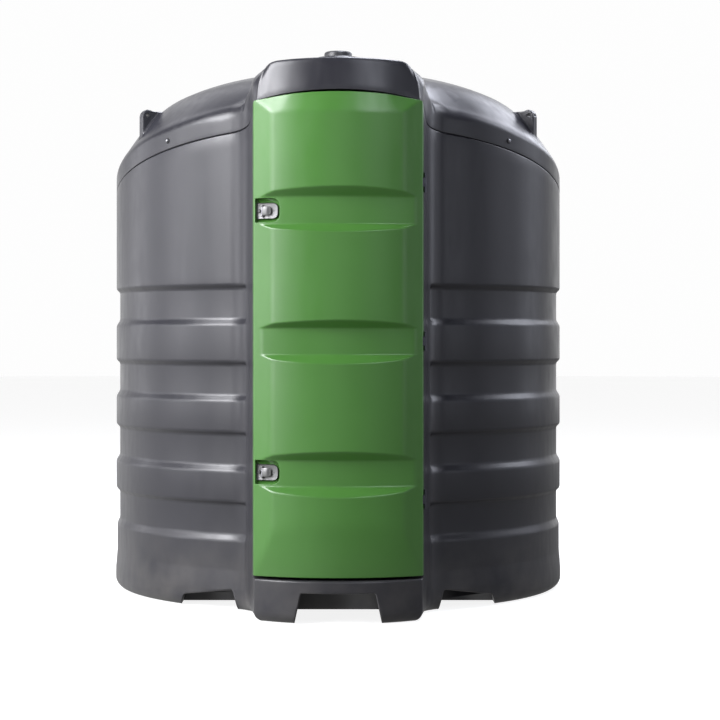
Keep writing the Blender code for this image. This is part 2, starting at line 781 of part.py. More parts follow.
def make_hood(stations, parts, cutters, grey):
    """Hood over the door: a shell lofted from the dome's section to the front."""
    rings = []
    back = DOME_FRONT - 0.03
    rings.append(hood_ring(math.sqrt(RIB_RADIUS ** 2 - back ** 2), lambda x: back, 0.0, 0, 0))
    for point, _, _ in stations[CIRCLE_STEPS:]:
        forward = -point.y
        share = min(max((forward - DOME_FRONT) / (FILLET_END[1] - DOME_FRONT), 0.0), 1.0)
        blend = share * share * (3 - 2 * share)
        rings.append(hood_ring(point.x, lambda x, f=forward: f, blend, 0, 0))
    half = CORNER[0]
    rings.append(hood_ring(half, lambda x: front_forward(x) - HOOD_EDGE, 1.0, 0, 0))
    rings.append(hood_ring(half, front_forward, 1.0, HOOD_EDGE * 0.3, HOOD_EDGE))
    bm = bmesh.new()
    rows = [[bm.verts.new(point) for point in ring] for ring in rings]
    for row, following in zip(rows, rows[1:]):
        for i in range(len(row) - 1):
            bm.faces.new((row[i], row[i + 1], following[i + 1], following[i]))
    last = rows[-1]
    bottom = [last[0]]
    for vert in last[2:-2]:
        forward = front_forward(vert.co.x)
        bottom.append(bm.verts.new((vert.co.x, -forward, seam_height(forward) + GAP)))
    bottom.append(last[-1])
    upper = last[1:-1]
    for i in range(len(upper) - 1):
        bm.faces.new((upper[i], upper[i + 1], bottom[i + 1], bottom[i]))
    hood = add_object("door_hood", finish_mesh("door_hood", bm), grey, parts)
    solidify = hood.modifiers.new("wall", "SOLIDIFY")
    solidify.thickness = WALL
    solidify.offset = -1.0
    solidify.use_even_offset = True
    reach = 1.0
    behind = box_bmesh((-reach, -(DOME_FRONT + GAP), 1.5), (reach, -0.5, 3.2))
    boolean(hood, tool("hood_back_cut", behind, cutters))


def make_lugs(parts, cutters, grey):
    """Lifting lugs: upright plates on the dome's shoulders, each with a hole."""
    half = LUG_THICKNESS / 2
    for side, word in ((1, "right"), (-1, "left")):
        out = Vector((side * math.sin(LUG_ANGLE), -math.cos(LUG_ANGLE), 0.0))
        across = Vector((-out.y, out.x, 0.0))
        rings = [
            [out * radius + across * shift + Vector((0.0, 0.0, z)) for radius, z in LUG_OUTLINE]
            for shift in (-half, half)
        ]
        full = "lifting_lug_" + word
        lug = add_object(full, finish_mesh(full, loft_bmesh(rings)), grey, parts)
        bm = bmesh.new()
        sunk = dome_outer_rows(bm, 2 * GAP)
        base = [bm.verts.new((vert.co.x, vert.co.y, 1.0)) for vert in sunk[0]]
        for row, following in zip([base] + sunk, sunk):
            band_of_triangles(bm, row, following)
        bm.faces.new(base)
        bm.faces.new(sunk[-1])
        boolean(lug, tool("dome_cut_" + word, bm, cutters))
        hole = cylinder_bmesh(LUG_HOLE_RADIUS, -LUG_THICKNESS, LUG_THICKNESS, 12)
        turn = Matrix.Rotation(math.atan2(out.y, out.x), 4, "Z")
        lay = Matrix.Translation((LUG_HOLE[0], 0.0, LUG_HOLE[1])) @ Matrix.Rotation(
            math.pi / 2, 4, "X")
        bmesh.ops.transform(hole, matrix=turn @ lay, verts=hole.verts)
        boolean(lug, tool("lug_hole_" + word, hole, cutters))


def turned(name, profile, parts, material, steps=32):
    """A turned piece: a profile from the axis out and down, spun by a Screw modifier."""
    mesh = bpy.data.meshes.new(name)
    points = [(x, 0.0, z) for x, z in profile]
    mesh.from_pydata(points, [(i, i + 1) for i in range(len(points) - 1)], [])
    obj = add_object(name, mesh, material, parts)
    screw = obj.modifiers.new("turn", "SCREW")
    screw.axis = "Z"
    screw.steps = steps
    screw.render_steps = steps
    screw.use_merge_vertices = True
    screw.merge_threshold = 0.00005
    screw.use_normal_calculate = False
    return obj


def make_hatch(parts, grey):
    """Collar and screw cap of the hatch on the crown."""
    seat = GAP * 2
    crown = dome_height(0.0, 0.0) + seat
    edge = dome_height(COLLAR_RADIUS, 0.0) + seat + 0.001
    collar = (
        (0.0, COLLAR_TOP), (COLLAR_RADIUS - 0.012, COLLAR_TOP),
        (COLLAR_RADIUS - 0.003, COLLAR_TOP - 0.006), (COLLAR_RADIUS, COLLAR_TOP - 0.018),
        (COLLAR_RADIUS, edge), (0.0, crown + 0.001),
    )
    turned("hatch_collar", collar, parts, grey, 40)
    foot = COLLAR_TOP + GAP
    cap = (
        (0.0, CAP_TOP), (CAP_TOP_RADIUS, CAP_TOP), (CAP_RADIUS - 0.004, CAP_TOP - 0.004),
        (CAP_RADIUS, CAP_TOP - 0.014), (CAP_RADIUS, foot), (0.0, foot),
    )
    turned("hatch_cap", cap, parts, grey, 32)


def door_plan(inset, behind):
    """Plan outline of the door, or of its hollow when it is inset."""
    half = CORNER[0] - inset
    middle = FRONT_FORWARD - inset
    radius = PANEL_RADIUS - inset
    crease_shift = inset * 0.41
    crease = PANEL_HALF - crease_shift
    steps = 12
    front = [(half, -(CORNER[1] - crease_shift))]
    for step in range(steps + 1):
        x = crease - 2 * crease * step / steps
        front.append((x, -arc_forward(x, middle, radius)))
    front.append((-half, -(CORNER[1] - crease_shift)))
    if behind is not None:
        return front + [(-half, -behind), (half, -behind)]
    back = [(-half, -DOOR_BACK)]
    rise = DOOR_BACK_ARC - DOOR_BACK
    radius = (DOOR_REBATE_HALF ** 2 + rise ** 2) / (2 * rise)
    for step in range(steps + 1):
        x = -DOOR_REBATE_HALF + 2 * DOOR_REBATE_HALF * step / steps
        back.append((x, -arc_forward(x, DOOR_BACK_ARC, radius)))
    return front + back + [(half, -DOOR_BACK)]


def door_block(inset, behind):
    """The door's form before its bands are cut, topped parallel to the seam."""
    bm = extruded(door_plan(inset, behind), DOOR_BOTTOM + inset, 2.7)
    top = SEAM_AT_AXIS + SEAM_FRONT_LIFT - DOOR_TOP_CLEARANCE - inset
    cut_away(bm, (0, 0, top), (0, SEAM_SLOPE, 1))
    crease = arc_forward(PANEL_HALF, FRONT_FORWARD, PANEL_RADIUS)
    for side in (1, -1):
        normal = Vector((side * TOP_FACET_SLOPES[0], -1.0, TOP_FACET_SLOPES[1])).normalized()
        corner = Vector((side * PANEL_HALF, -crease, TOP_BEVEL_START))
        cut_away(bm, corner - normal * inset, normal)
    return bm


def sweep_cutter(levels, middle, radius):
    """A cutter in front of an arc that moves forward or back with height."""
    half = 0.46
    steps = 16
    rings = []
    for z, shift in levels:
        ring = []
        for step in range(steps + 1):
            x = -half + 2 * half * step / steps
            ring.append(Vector((x, -(arc_forward(x, middle, radius) + shift), z)))
        ring.append(Vector((half, -2.0, z)))
        ring.append(Vector((-half, -2.0, z)))
        rings.append(ring)
    return loft_bmesh(rings)


def door_cutters(kind, inset, cutters):
    """Bands, top bevel and bottom bevel, for the outer form or for the hollow."""
    tools = []
    depth = FRONT_FORWARD - BAND_FLOOR_FORWARD
    reach = 1.7
    for index, (low_lip, low, high, high_lip) in enumerate(DOOR_BANDS):
        low_reach = (low - low_lip) * reach
        high_reach = (high_lip - high) * reach
        low -= inset * 0.4
        high += inset * 0.4
        levels = (
            (low - low_reach, depth * reach - inset), (low, -inset), (high, -inset),
            (high + high_reach, depth * reach - inset),
        )
        bm = sweep_cutter(levels, BAND_FLOOR_FORWARD, BAND_FLOOR_RADIUS)
        tools.append(tool("band_" + kind + str(index), bm, cutters))
    start = TOP_BEVEL_START - inset * 0.4
    levels = (
        (start - 0.02, 0.02 * TOP_BEVEL_SLOPE), (start + 0.2, -0.2 * TOP_BEVEL_SLOPE),
    )
    bm = sweep_cutter(levels, FRONT_FORWARD - inset, PANEL_RADIUS - inset)
    tools.append(tool("top_bevel_" + kind, bm, cutters))
    start = BOTTOM_BEVEL_START + inset * 0.1
    levels = (
        (start - 0.4, -0.4 * BOTTOM_BEVEL_SLOPE), (start + 0.1, 0.1 * BOTTOM_BEVEL_SLOPE),
    )
    bm = sweep_cutter(levels, FRONT_FORWARD - inset, BOTTOM_ARC_RADIUS - inset)
    tools.append(tool("bottom_bevel_" + kind, bm, cutters))
    return tools


def latch_matrix(height):
    """Place of a latch: x along the plate, y up, z out of the door."""
    along = Vector((math.cos(LATCH_TILT), -math.sin(LATCH_TILT), 0.0))
    up = Vector((0.0, 0.0, 1.0))
    out = along.cross(up)
    matrix = Matrix((along, up, out)).transposed().to_4x4()
    matrix.translation = Vector((LATCH_X, -LATCH_FORWARD, height))
    return matrix


def rounded_plate(size, corners, low, high):
    """A D-shaped plate: small corners at its left end and large ones at its right."""
    width, height = size
    points = []
    places = (
        (width / 2, height / 2, corners[1], 0.0), (-width / 2, height / 2, corners[0], 90.0),
        (-width / 2, -height / 2, corners[0], 180.0), (width / 2, -height / 2, corners[1], 270.0),
    )
    turns = 4
    for x, y, radius, start in places:
        centre_x = x - math.copysign(radius, x)
        centre_y = y - math.copysign(radius, y)
        for turn in range(turns + 1):
            angle = math.radians(start + 90.0 * turn / turns)
            points.append((centre_x + radius * math.cos(angle),
                           centre_y + radius * math.sin(angle)))
    return extruded(points, low, high)


def moved(bm, matrix):
    """Move a whole bmesh."""
    bmesh.ops.transform(bm, matrix=matrix, verts=bm.verts)
    return bm


def make_door(parts, cutters, green):
    """Green door: a curved skin with turned-in edges and three lens-shaped bands."""
    door = add_object("door", finish_mesh("door", door_block(0.0, None)), green, parts)
    hollow = tool("door_hollow", door_block(DOOR_SKIN, 1.40), cutters)
    for cutter in door_cutters("outer", 0.0, cutters):
        boolean(door, cutter)
    for cutter in door_cutters("inner", DOOR_SKIN, cutters):
        boolean(hollow, cutter)
    for word, height in LATCH_HEIGHTS.items():
        matrix = latch_matrix(height)
        boss = box_bmesh((-0.072, -0.070, -POCKET_DEPTH - 0.010), (0.083, 0.072, 0.10))
        boolean(hollow, tool("latch_boss_" + word, moved(boss, matrix), cutters))
        bm = rounded_plate(POCKET_SIZE, POCKET_CORNERS, -POCKET_DEPTH, 0.10)
        place = matrix @ Matrix.Translation((*POCKET_SHIFT, 0.0))
        boolean(door, tool("latch_pocket_" + word, moved(bm, place), cutters))
    boolean(door, hollow)
    return door


def upright_cylinder(x, y, radius, low, high, sides=16):
    """A cylinder standing at a place."""
    bm = cylinder_bmesh(radius, low, high, sides)
    bmesh.ops.translate(bm, vec=(x, y, 0.0), verts=bm.verts)
    return bm


def make_hinges(parts, cutters, steel):
    """Three butt hinges: a fixed leaf with the pin, and a door leaf with the middle knuckle."""
    x, y = HINGE_AXIS
    side = Vector((CORNER[0] - FILLET_END[0], -(CORNER[1] - FILLET_END[1]))).normalized()
    names = ("top", "middle", "bottom")
    for word, height in zip(names, HINGE_HEIGHTS):
        low = height - HINGE_LENGTH / 2
        high = height + HINGE_LENGTH / 2
        third = HINGE_LENGTH / 4
        full = word + "_hinge_fixed_leaf"
        bm = upright_cylinder(x, y, HINGE_PIN_RADIUS, low, high)
        fixed = add_object(full, finish_mesh(full, bm), steel, parts)
        spans = ((low, low + third, "a"), (high - third, high, "b"))
        for start, end, mark in spans:
            bm = upright_cylinder(x, y, HINGE_RADIUS, start, end)
            boolean(fixed, tool("knuckle_" + word + mark, bm, cutters), "UNION")
        back = Vector((CORNER[0], -CORNER[1])) - side * (CORNER[1] - COLUMN_FRONT + 0.001)
        out = Vector((-side.y, side.x))
        inner = back + out * (2 * GAP)
        rear = inner - side * HINGE_LEAF_REACH
        plan = [inner, rear, rear + out * HINGE_LEAF, inner + out * HINGE_LEAF]
        leaf = [(point.x, point.y) for point in plan]
        leaf_low, leaf_high = low + 0.0005, high - 0.0005
        boolean(fixed, tool("fixed_plate_" + word, extruded(leaf, leaf_low, leaf_high), cutters),
                "UNION")
        for start, end, mark in spans:
            rear_foot = inner - side * 0.014 + out * 0.001
            front_foot = inner + out * 0.001
            web = [
                (front_foot.x, front_foot.y), (rear_foot.x, rear_foot.y),
                (x + 0.003, y + 0.004), (x - 0.002, y - 0.004),
            ]
            bm = extruded(web, start + 0.001, end - 0.001)
            boolean(fixed, tool("fixed_web_" + word + mark, bm, cutters), "UNION")
        full = word + "_hinge_door_leaf"
        start = low + third + 0.0006
        end = high - third - 0.0006
        bm = upright_cylinder(x, y, HINGE_RADIUS, start, end)
        moving = add_object(full, finish_mesh(full, bm), steel, parts)
        edge = CORNER[0] + GAP
        plate = [
            (edge, -DOOR_BACK - 0.002), (edge + 0.010, -DOOR_BACK - 0.002),
            (x, y - 0.001), (x, y - HINGE_RADIUS + 0.001), (edge + HINGE_LEAF, y - 0.012),
            (edge + HINGE_LEAF, -CORNER[1] + 0.006), (edge, -CORNER[1] + 0.006),
        ]
        bm = extruded(plate, start + 0.0005, end - 0.0005)
        boolean(moving, tool("door_plate_" + word, bm, cutters), "UNION")
        bore = upright_cylinder(x, y, HINGE_PIN_RADIUS + 0.0004, low, high)
        boolean(moving, tool("hinge_bore_" + word, bore, cutters))


def make_latches(parts, cutters, steel, dark):
    """Two latches: a D-shaped tray, a paddle on an upright pin, and a lock."""
    floor = -POCKET_DEPTH + GAP
    for word, height in LATCH_HEIGHTS.items():
        matrix = latch_matrix(height)
        full = word + "_latch_plate"
        bm = rounded_plate(PLATE_SIZE, PLATE_CORNERS, floor, floor + PLATE_RIM)
        plate = add_object(full, finish_mesh(full, moved(bm, matrix)), steel, parts)
        rim = PLATE_RIM_WIDTH
        inner_size = (PLATE_SIZE[0] - 2 * rim, PLATE_SIZE[1] - 2 * rim)
        inner_corners = (PLATE_CORNERS[0] * 0.5, PLATE_CORNERS[1] - rim)
        bm = rounded_plate(inner_size, inner_corners, floor + PLATE_BASE, OVERSIZE)
        boolean(plate, tool("tray_" + word, moved(bm, matrix), cutters))
        pivot_z = -PADDLE_PIVOT_DEPTH
        reach = PADDLE_HALF_HEIGHT + 0.0006
        for sign, mark in ((1, "top"), (-1, "bottom")):
            ys = sorted((sign * reach, sign * (reach + PIVOT_LUG)))
            bm = box_bmesh(
                (PADDLE_PIVOT_U - 0.004, ys[0], floor + PLATE_BASE - 0.001),
                (PADDLE_PIVOT_U + 0.004, ys[1], pivot_z + 0.004))
            name = "pivot_lug_" + word + mark
            boolean(plate, tool(name, moved(bm, matrix), cutters), "UNION")
        turn = Matrix.Translation((PADDLE_PIVOT_U, 0, pivot_z)) @ Matrix.Rotation(
            math.pi / 2, 4, "X")
        bore = cylinder_bmesh(PADDLE_PIN + 0.0004, -reach - 0.004, reach + 0.004, 12)
        boolean(plate, tool("pivot_bore_" + word, moved(bore, matrix @ turn), cutters))
        full = word + "_latch_paddle"
        bm = cylinder_bmesh(PADDLE_PIN, -reach - 0.0035, reach + 0.0035, 12)
        paddle = add_object(full, finish_mesh(full, moved(bm, matrix @ turn)), steel, parts)
        bm = cylinder_bmesh(PADDLE_BARREL, -PADDLE_HALF_HEIGHT, PADDLE_HALF_HEIGHT, 12)
        boolean(paddle, tool("barrel_" + word, moved(bm, matrix @ turn), cutters), "UNION")
        profile = paddle_profile()
        rings = [
            [Vector((u, v, w)) for u, w in profile]
            for v in (-PADDLE_HALF_HEIGHT + 0.0005, PADDLE_HALF_HEIGHT - 0.0005)
        ]
        bm = moved(loft_bmesh(rings), matrix)
        boolean(paddle, tool("blade_" + word, bm, cutters), "UNION")
        full = word + "_latch_lock"
        bm = cylinder_bmesh(LOCK_RADIUS, floor + PLATE_BASE + GAP, floor + PLATE_RIM + 0.002, 20)
        place = matrix @ Matrix.Translation((LOCK_U, 0, 0))
        add_object(full, finish_mesh(full, moved(bm, place)), dark, parts)


def paddle_profile():
    """Section of the paddle: a blade that bulges outward between pivot and tip."""
    base = -PADDLE_PIVOT_DEPTH
    bulge = 0.0045
    steps = 6
    outer = []
    inner = []
    for step in range(steps + 1):
        share = step / steps
        u = PADDLE_PIVOT_U + 0.001 + (PADDLE_LENGTH - 0.001) * share
        lift = bulge * math.sin(math.pi * share)
        outer.append((u, base + PADDLE_THICKNESS / 2 + lift))
        inner.append((u, base - PADDLE_THICKNESS / 2 + lift))
    return outer + inner[::-1]


def set_origin(obj, place):
    """Put an object's origin at a place, with its mesh left where it is."""
    offset = Vector(place)
    obj.data.transform(Matrix.Translation(-offset))
    obj.location = offset


def build():
    """Build the whole tank."""
    clear_scene()
    parts = new_collection("diesel_tank")
    cutters = new_collection("cutters")
    grey = principled("grey_plastic", GREY, 0.45)
    green = principled("green_plastic", GREEN, 0.35)
    steel = principled("bright_steel", STEEL, 0.30, 1.0)
    dark = principled("dark_metal", DARK, 0.40, 0.8)
    stations = outline_stations()
    make_base(parts, grey)
    block = make_pockets(stations, parts, cutters, grey)
    make_foot(stations, parts, cutters, grey)
    make_floor(block, parts, cutters, grey)
    make_walls(stations, parts, grey)
    make_cabinet_lining(parts, grey)
    make_rim(stations, parts, grey)
    make_dome(parts, grey)
    make_hood(stations, parts, cutters, grey)
    make_lugs(parts, cutters, grey)
    make_hatch(parts, grey)
    door = make_door(parts, cutters, green)
    make_hinges(parts, cutters, steel)
    make_latches(parts, cutters, steel, dark)
    set_origin(door, (*HINGE_AXIS, 0.0))
    for material in (grey, green, steel, dark):
        bpy.data.materials.remove(material)


build()
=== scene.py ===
import math

import bmesh
import bpy
from mathutils import Matrix, Vector


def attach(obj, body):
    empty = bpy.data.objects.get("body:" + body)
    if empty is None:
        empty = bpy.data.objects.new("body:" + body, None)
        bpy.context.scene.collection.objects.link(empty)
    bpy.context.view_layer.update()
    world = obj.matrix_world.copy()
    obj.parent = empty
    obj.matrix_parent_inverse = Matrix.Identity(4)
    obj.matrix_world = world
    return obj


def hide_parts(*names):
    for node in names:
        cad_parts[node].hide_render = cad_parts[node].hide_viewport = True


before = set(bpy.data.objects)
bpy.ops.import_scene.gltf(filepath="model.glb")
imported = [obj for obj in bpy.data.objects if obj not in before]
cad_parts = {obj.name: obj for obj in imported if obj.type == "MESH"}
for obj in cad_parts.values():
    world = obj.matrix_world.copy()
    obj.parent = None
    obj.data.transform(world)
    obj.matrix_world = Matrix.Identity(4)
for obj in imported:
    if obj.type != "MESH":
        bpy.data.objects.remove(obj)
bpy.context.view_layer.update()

# Plan, with depths measured forward from the tank's axis: a point is (x, forward) and y = -forward
RIB_RADIUS = 1.222
FILLET_START_X = 0.550
FILLET_END = (0.431, 1.270)
CORNER = (0.404, 1.490)
FRONT_FORWARD = 1.625
COLUMN_FRONT = 1.430
CORNER_ROUND = 0.010
MITRE_SPREAD = 0.060
CIRCLE_STEPS = 72
FILLET_STEPS = 36
SIDE_STEPS = 10
CORNER_STEPS = 6
FRONT_STEPS = 26

# Round shell: height and depth below the ribs
BANDS = (
    (0.100, -0.003), (0.200, 0.005), (0.343, 0.005), (0.374, 0.019),
    (0.523, 0.019), (0.541, 0.000), (0.689, 0.000), (0.720, 0.019), (0.870, 0.019),
    (0.888, 0.000), (1.039, 0.000), (1.070, 0.019), (1.219, 0.019), (1.237, 0.000),
    (1.420, 0.000), (1.451, 0.019), (1.601, 0.019), (1.619, 0.000), (1.660, 0.000),
)
BAND_ROUND = 0.010
WALL_STEPS = 11
BAND_END = (0.452, 0.470)
BASE_EDGE = 0.050
FOOT_TOP = 0.205
FOOT_ROUND = 0.008
SILL_DEPTH = 0.030
SILL_BACK = 1.02
FRAME_INNER = 0.349

# Seam and lid
SEAM_AT_AXIS = 2.107
SEAM_SLOPE = 0.243
SEAM_FRONT_LIFT = 0.019
LIFT_START = 1.270
LIFT_END = 1.430
SEAM_HALF_GAP = 0.0010
SEAM_FRONT_RISE = 0.070
HOOD_SETBACK = 0.012
HOOD_FLATTER = 0.014
HOOD_LEAN = 0.12
HOOD_RISE = 0.170
HOOD_DROP = 0.0013
# The lid's bend: how far it reaches in, and by how much more or less between two places forward
BEND_REACH = 0.018
BEND_WIDER = (0.024, 0.95, 1.15)
BEND_NARROWER = (0.032, 1.25, 1.40)
BEND_STEPS = 8
STEEPEST = 2.2
LID_WALL = 0.008
RIM_HEIGHT = 0.100
DOME_RADIUS = 1.205
# Radius of the dome, and its rise above the rim there
DOME_PROFILE = (
    (0.000, 0.579), (0.300, 0.570), (0.500, 0.538), (0.700, 0.475), (0.850, 0.404),
    (0.950, 0.342), (1.000, 0.305), (1.050, 0.254), (1.100, 0.191), (1.150, 0.1155),
    (1.180, 0.066), (1.200, 0.034), (1.222, -0.004),
)
HOOD_FROM = 1.050
HOOD_TO = 1.270
HOOD_SECTION = (
    (0.000, 2.686), (0.280, 2.684), (0.560, 2.681), (0.740, 2.677), (0.817, 2.668), (0.862, 2.643),
    (0.907, 2.618), (0.955, 2.592), (0.985, 2.567), (1.000, 2.542),
)
HOOD_SHOULDER = ((1.270, 2.580), (1.370, 2.590), (1.490, 2.542))

# Pockets for forks and the arch in the foot: outlines seen from the front
NOTCH = ((0.480, -0.050), (0.5225, 0.1076), (0.783, 0.065), (0.821, -0.050))
NOTCH_BACK = 0.740
ARCH = ((-0.224, -0.050), (-0.181, 0.153), (0.181, 0.153), (0.224, -0.050))
ARCH_BACK = 1.0745
LIP = 0.006

# Door
DOOR_LOW = 0.218
DOOR_BACK = 1.4355
DOOR_TOP_PLANE = 2.1248
DOOR_EDGE = 0.0035
DOOR_RIM = 0.0025
DOOR_WALL = 0.007
PANEL_HALF = 0.318
PANEL_RADIUS = 0.780
CHAMFER_SLOPE = 0.779
BAND_FLOOR_FORWARD = 1.580
BAND_FLOOR_RADIUS = 1.120
DOOR_BANDS = (
    (0.601, 0.649, 0.772, 0.817), (1.232, 1.274, 1.401, 1.439), (1.858, 1.894, 2.026, 2.071),
)
TOP_STEPS = 22
TOP_BEVEL_START = 2.428
TOP_BEVEL_SLOPE = 0.30
# Facet at each top corner: how fast it falls back sideways and upwards
TOP_FACET_SLOPES = (0.467, 0.383)
BOTTOM_BEVEL_START = 0.469
BOTTOM_BEVEL_SLOPE = 0.13
BOTTOM_ARC_RADIUS = 0.840

# Latches
LATCH_HEIGHTS = {"upper": 1.9605, "lower": 0.713}
LATCH_X = -0.3435
LATCH_FORWARD = 1.5198
LATCH_TILT = math.radians(22.0)
POCKET_DEPTH = 0.022
PADDLE_PIVOT = (-0.026, -0.0105)
TRAY_FLOOR = -POCKET_DEPTH + 0.0003
TRAY_THICK = 0.0026

# Lifting lugs: plates along a radius, with heights by distance from the tank's axis
LUG_ANGLE = math.radians(62.0)
LUG_HALF = 0.025
LUG_FLARE = 0.024
LUG_TOP = (
    (1.060, 2.548), (1.103, 2.548), (1.121, 2.550), (1.134, 2.555), (1.147, 2.557),
    (1.160, 2.550), (1.170, 2.538), (1.176, 2.523),
)
LUG_HOLE = (1.1475, 2.5265)
LUG_EYE = 0.0095

# Rim screws: how far sideways, and how far above the seam
SCREW_X = 0.870
SCREW_RISE = 0.045

# Dust on the plastic: its colour, and how far up it reaches
DUST = (0.155, 0.145, 0.130)
DUST_HEIGHT = 0.42

# Brightness of the white behind the tank
WHITE = 0.985


def smoothstep(value, low, high):
    """Share from 0 to 1 as a value goes from low to high, eased at both ends."""
    share = min(max((value - low) / (high - low), 0.0), 1.0)
    return share * share * (3.0 - 2.0 * share)


def soft_min(a, b, width):
    """The smaller of two values, rounded where they are nearly equal."""
    share = max(width - abs(a - b), 0.0) / width
    return min(a, b) - share * share * width * 0.25


def soft_max(a, b, width):
    """The larger of two values, rounded where they are nearly equal."""
    return -soft_min(-a, -b, width)


def on_line(table, value):
    """Height of a broken line at a place, level beyond its ends."""
    if value <= table[0][0]:
        return table[0][1]
    for (x0, y0), (x1, y1) in zip(table, table[1:]):
        if value <= x1:
            return y0 + (y1 - y0) * (value - x0) / (x1 - x0)
    return table[-1][1]


def quarter(steps):
    """Sine and cosine at steps through a quarter turn."""
    angles = [math.pi / 2 * k / steps for k in range(steps + 1)]
    return [(math.sin(angle), math.cos(angle)) for angle in angles]


def bezier(a, b, c, steps):
    """Points of a quadratic curve from a to c that leans towards b."""
    points = []
    for step in range(steps + 1):
        t = step / steps
        points.append(a * (1 - t) ** 2 + b * 2 * t * (1 - t) + c * t ** 2)
    return points


def rounded_path(points, reach, steps=4):
    """An open path with its corners rounded."""
    points = [Vector(point) for point in points]
    path = [points[0]]
    for before, corner, after in zip(points, points[1:], points[2:]):
        back = before - corner
        ahead = after - corner
        back_reach = min(reach, back.length * 0.48)
        ahead_reach = min(reach, ahead.length * 0.48)
        start = corner + back.normalized() * back_reach
        end = corner + ahead.normalized() * ahead_reach
        path.extend(bezier(start, corner, end, steps))
    path.append(points[-1])
    return path


def rounded_polygon(points, reaches, steps=5):
    """A closed outline with its corners rounded."""
    points = [Vector(point) for point in points]
    outline = []
    count = len(points)
    for i, corner in enumerate(points):
        back = points[i - 1] - corner
        ahead = points[(i + 1) % count] - corner
        start = corner + back.normalized() * reaches[i]
        end = corner + ahead.normalized() * reaches[i]
        outline.extend(bezier(start, corner, end, steps))
    return outline


def adjusted(thing, **settings):
    """Set some properties of a Blender thing."""
    for key, value in settings.items():
        setattr(thing, key, value)
    return thing


def linked(name, data):
    """A new object in the scene."""
    obj = bpy.data.objects.new(name, data)
    bpy.context.scene.collection.objects.link(obj)
    return obj


def mesh_of(name, bm):
    """A mesh made from a bmesh, which is freed."""
    mesh = bpy.data.meshes.new(name)
    bm.to_mesh(mesh)
    bm.free()
    return mesh


# Materials

class Nodes:
    """A node tree with the few node shapes that the materials and the world share."""

    def __init__(self, owner):
        owner.use_nodes = True
        self.tree = owner.node_tree

    def node(self, kind, **settings):
        """Add a node."""
        return adjusted(self.tree.nodes.new(kind), **settings)

    def feed(self, socket, value):
        """Link an output to an input, or set the input to a value."""
        if isinstance(value, bpy.types.NodeSocket):
            self.tree.links.new(value, socket)
        else:
            socket.default_value = value

    def remap(self, value, low, high, to_low=0.0, to_high=1.0, ease="LINEAR"):
        """A range turned into another, clamped."""
        node = self.node("ShaderNodeMapRange", interpolation_type=ease)
        for socket, number in zip(node.inputs, (value, low, high, to_low, to_high)):
            self.feed(socket, number)
        return node.outputs["Result"]

    def math(self, operation, a, b):
        """A sum or product of two values."""
        node = self.node("ShaderNodeMath", operation=operation)
        self.feed(node.inputs[0], a)
        self.feed(node.inputs[1], b)
        return node.outputs[0]


class Surface(Nodes):
    """A Principled material with colour, roughness and relief from noise."""

    def __init__(self, name, metallic=0.0, specular=0.5):
        self.material = bpy.data.materials.new(name)
        super().__init__(self.material)
        self.shader = self.tree.nodes["Principled BSDF"]
        self.shader.inputs["Metallic"].default_value = metallic
        self.shader.inputs["Specular IOR Level"].default_value = specular
        self.where = self.node("ShaderNodeTexCoord").outputs["Object"]
        self.normal = None

    def noise(self, scale, detail=3.0, stretch=(1.0, 1.0, 1.0)):
        """Noise between 0 and 1 in the object's own coordinates, stretched."""
        mapping = self.node("ShaderNodeMapping")
        self.feed(mapping.inputs["Vector"], self.where)
        self.feed(mapping.inputs["Scale"], stretch)
        node = self.node("ShaderNodeTexNoise")
        self.feed(node.inputs["Vector"], mapping.outputs["Vector"])
        self.feed(node.inputs["Scale"], scale)
        self.feed(node.inputs["Detail"], detail)
        return node.outputs["Fac"]

    def blend(self, share, a, b):
        """A colour between two colours."""
        node = self.node("ShaderNodeMix", data_type="RGBA")
        self.feed(node.inputs[0], share)
        for socket, colour in ((node.inputs[6], a), (node.inputs[7], b)):
            self.feed(socket, (*colour, 1.0) if isinstance(colour, tuple) else colour)
        return node.outputs[2]

    def height(self):
        """Height above the ground."""
        split = self.node("ShaderNodeSeparateXYZ")
        self.feed(split.inputs[0], self.where)
        return split.outputs["Z"]

    def crest(self):
        """How far the surface stands out as an edge."""
        return self.node("ShaderNodeNewGeometry").outputs["Pointiness"]

    def bump(self, height, distance, strength):
        """Add relief."""
        node = self.node("ShaderNodeBump")
        self.feed(node.inputs["Height"], height)
        self.feed(node.inputs["Distance"], distance)
        self.feed(node.inputs["Strength"], strength)
        if self.normal is not None:
            self.feed(node.inputs["Normal"], self.normal)
        self.normal = node.outputs["Normal"]

    def finish(self, colour, roughness):
        """Link the results to the shader."""
        for socket, value in (("Base Color", colour), ("Roughness", roughness),
                              ("Normal", self.normal)):
            self.feed(self.shader.inputs[socket], value)
        return self.material


def scaled(colour, factor):
    """A colour made lighter or darker."""
    return tuple(min(channel * factor, 1.0) for channel in colour)


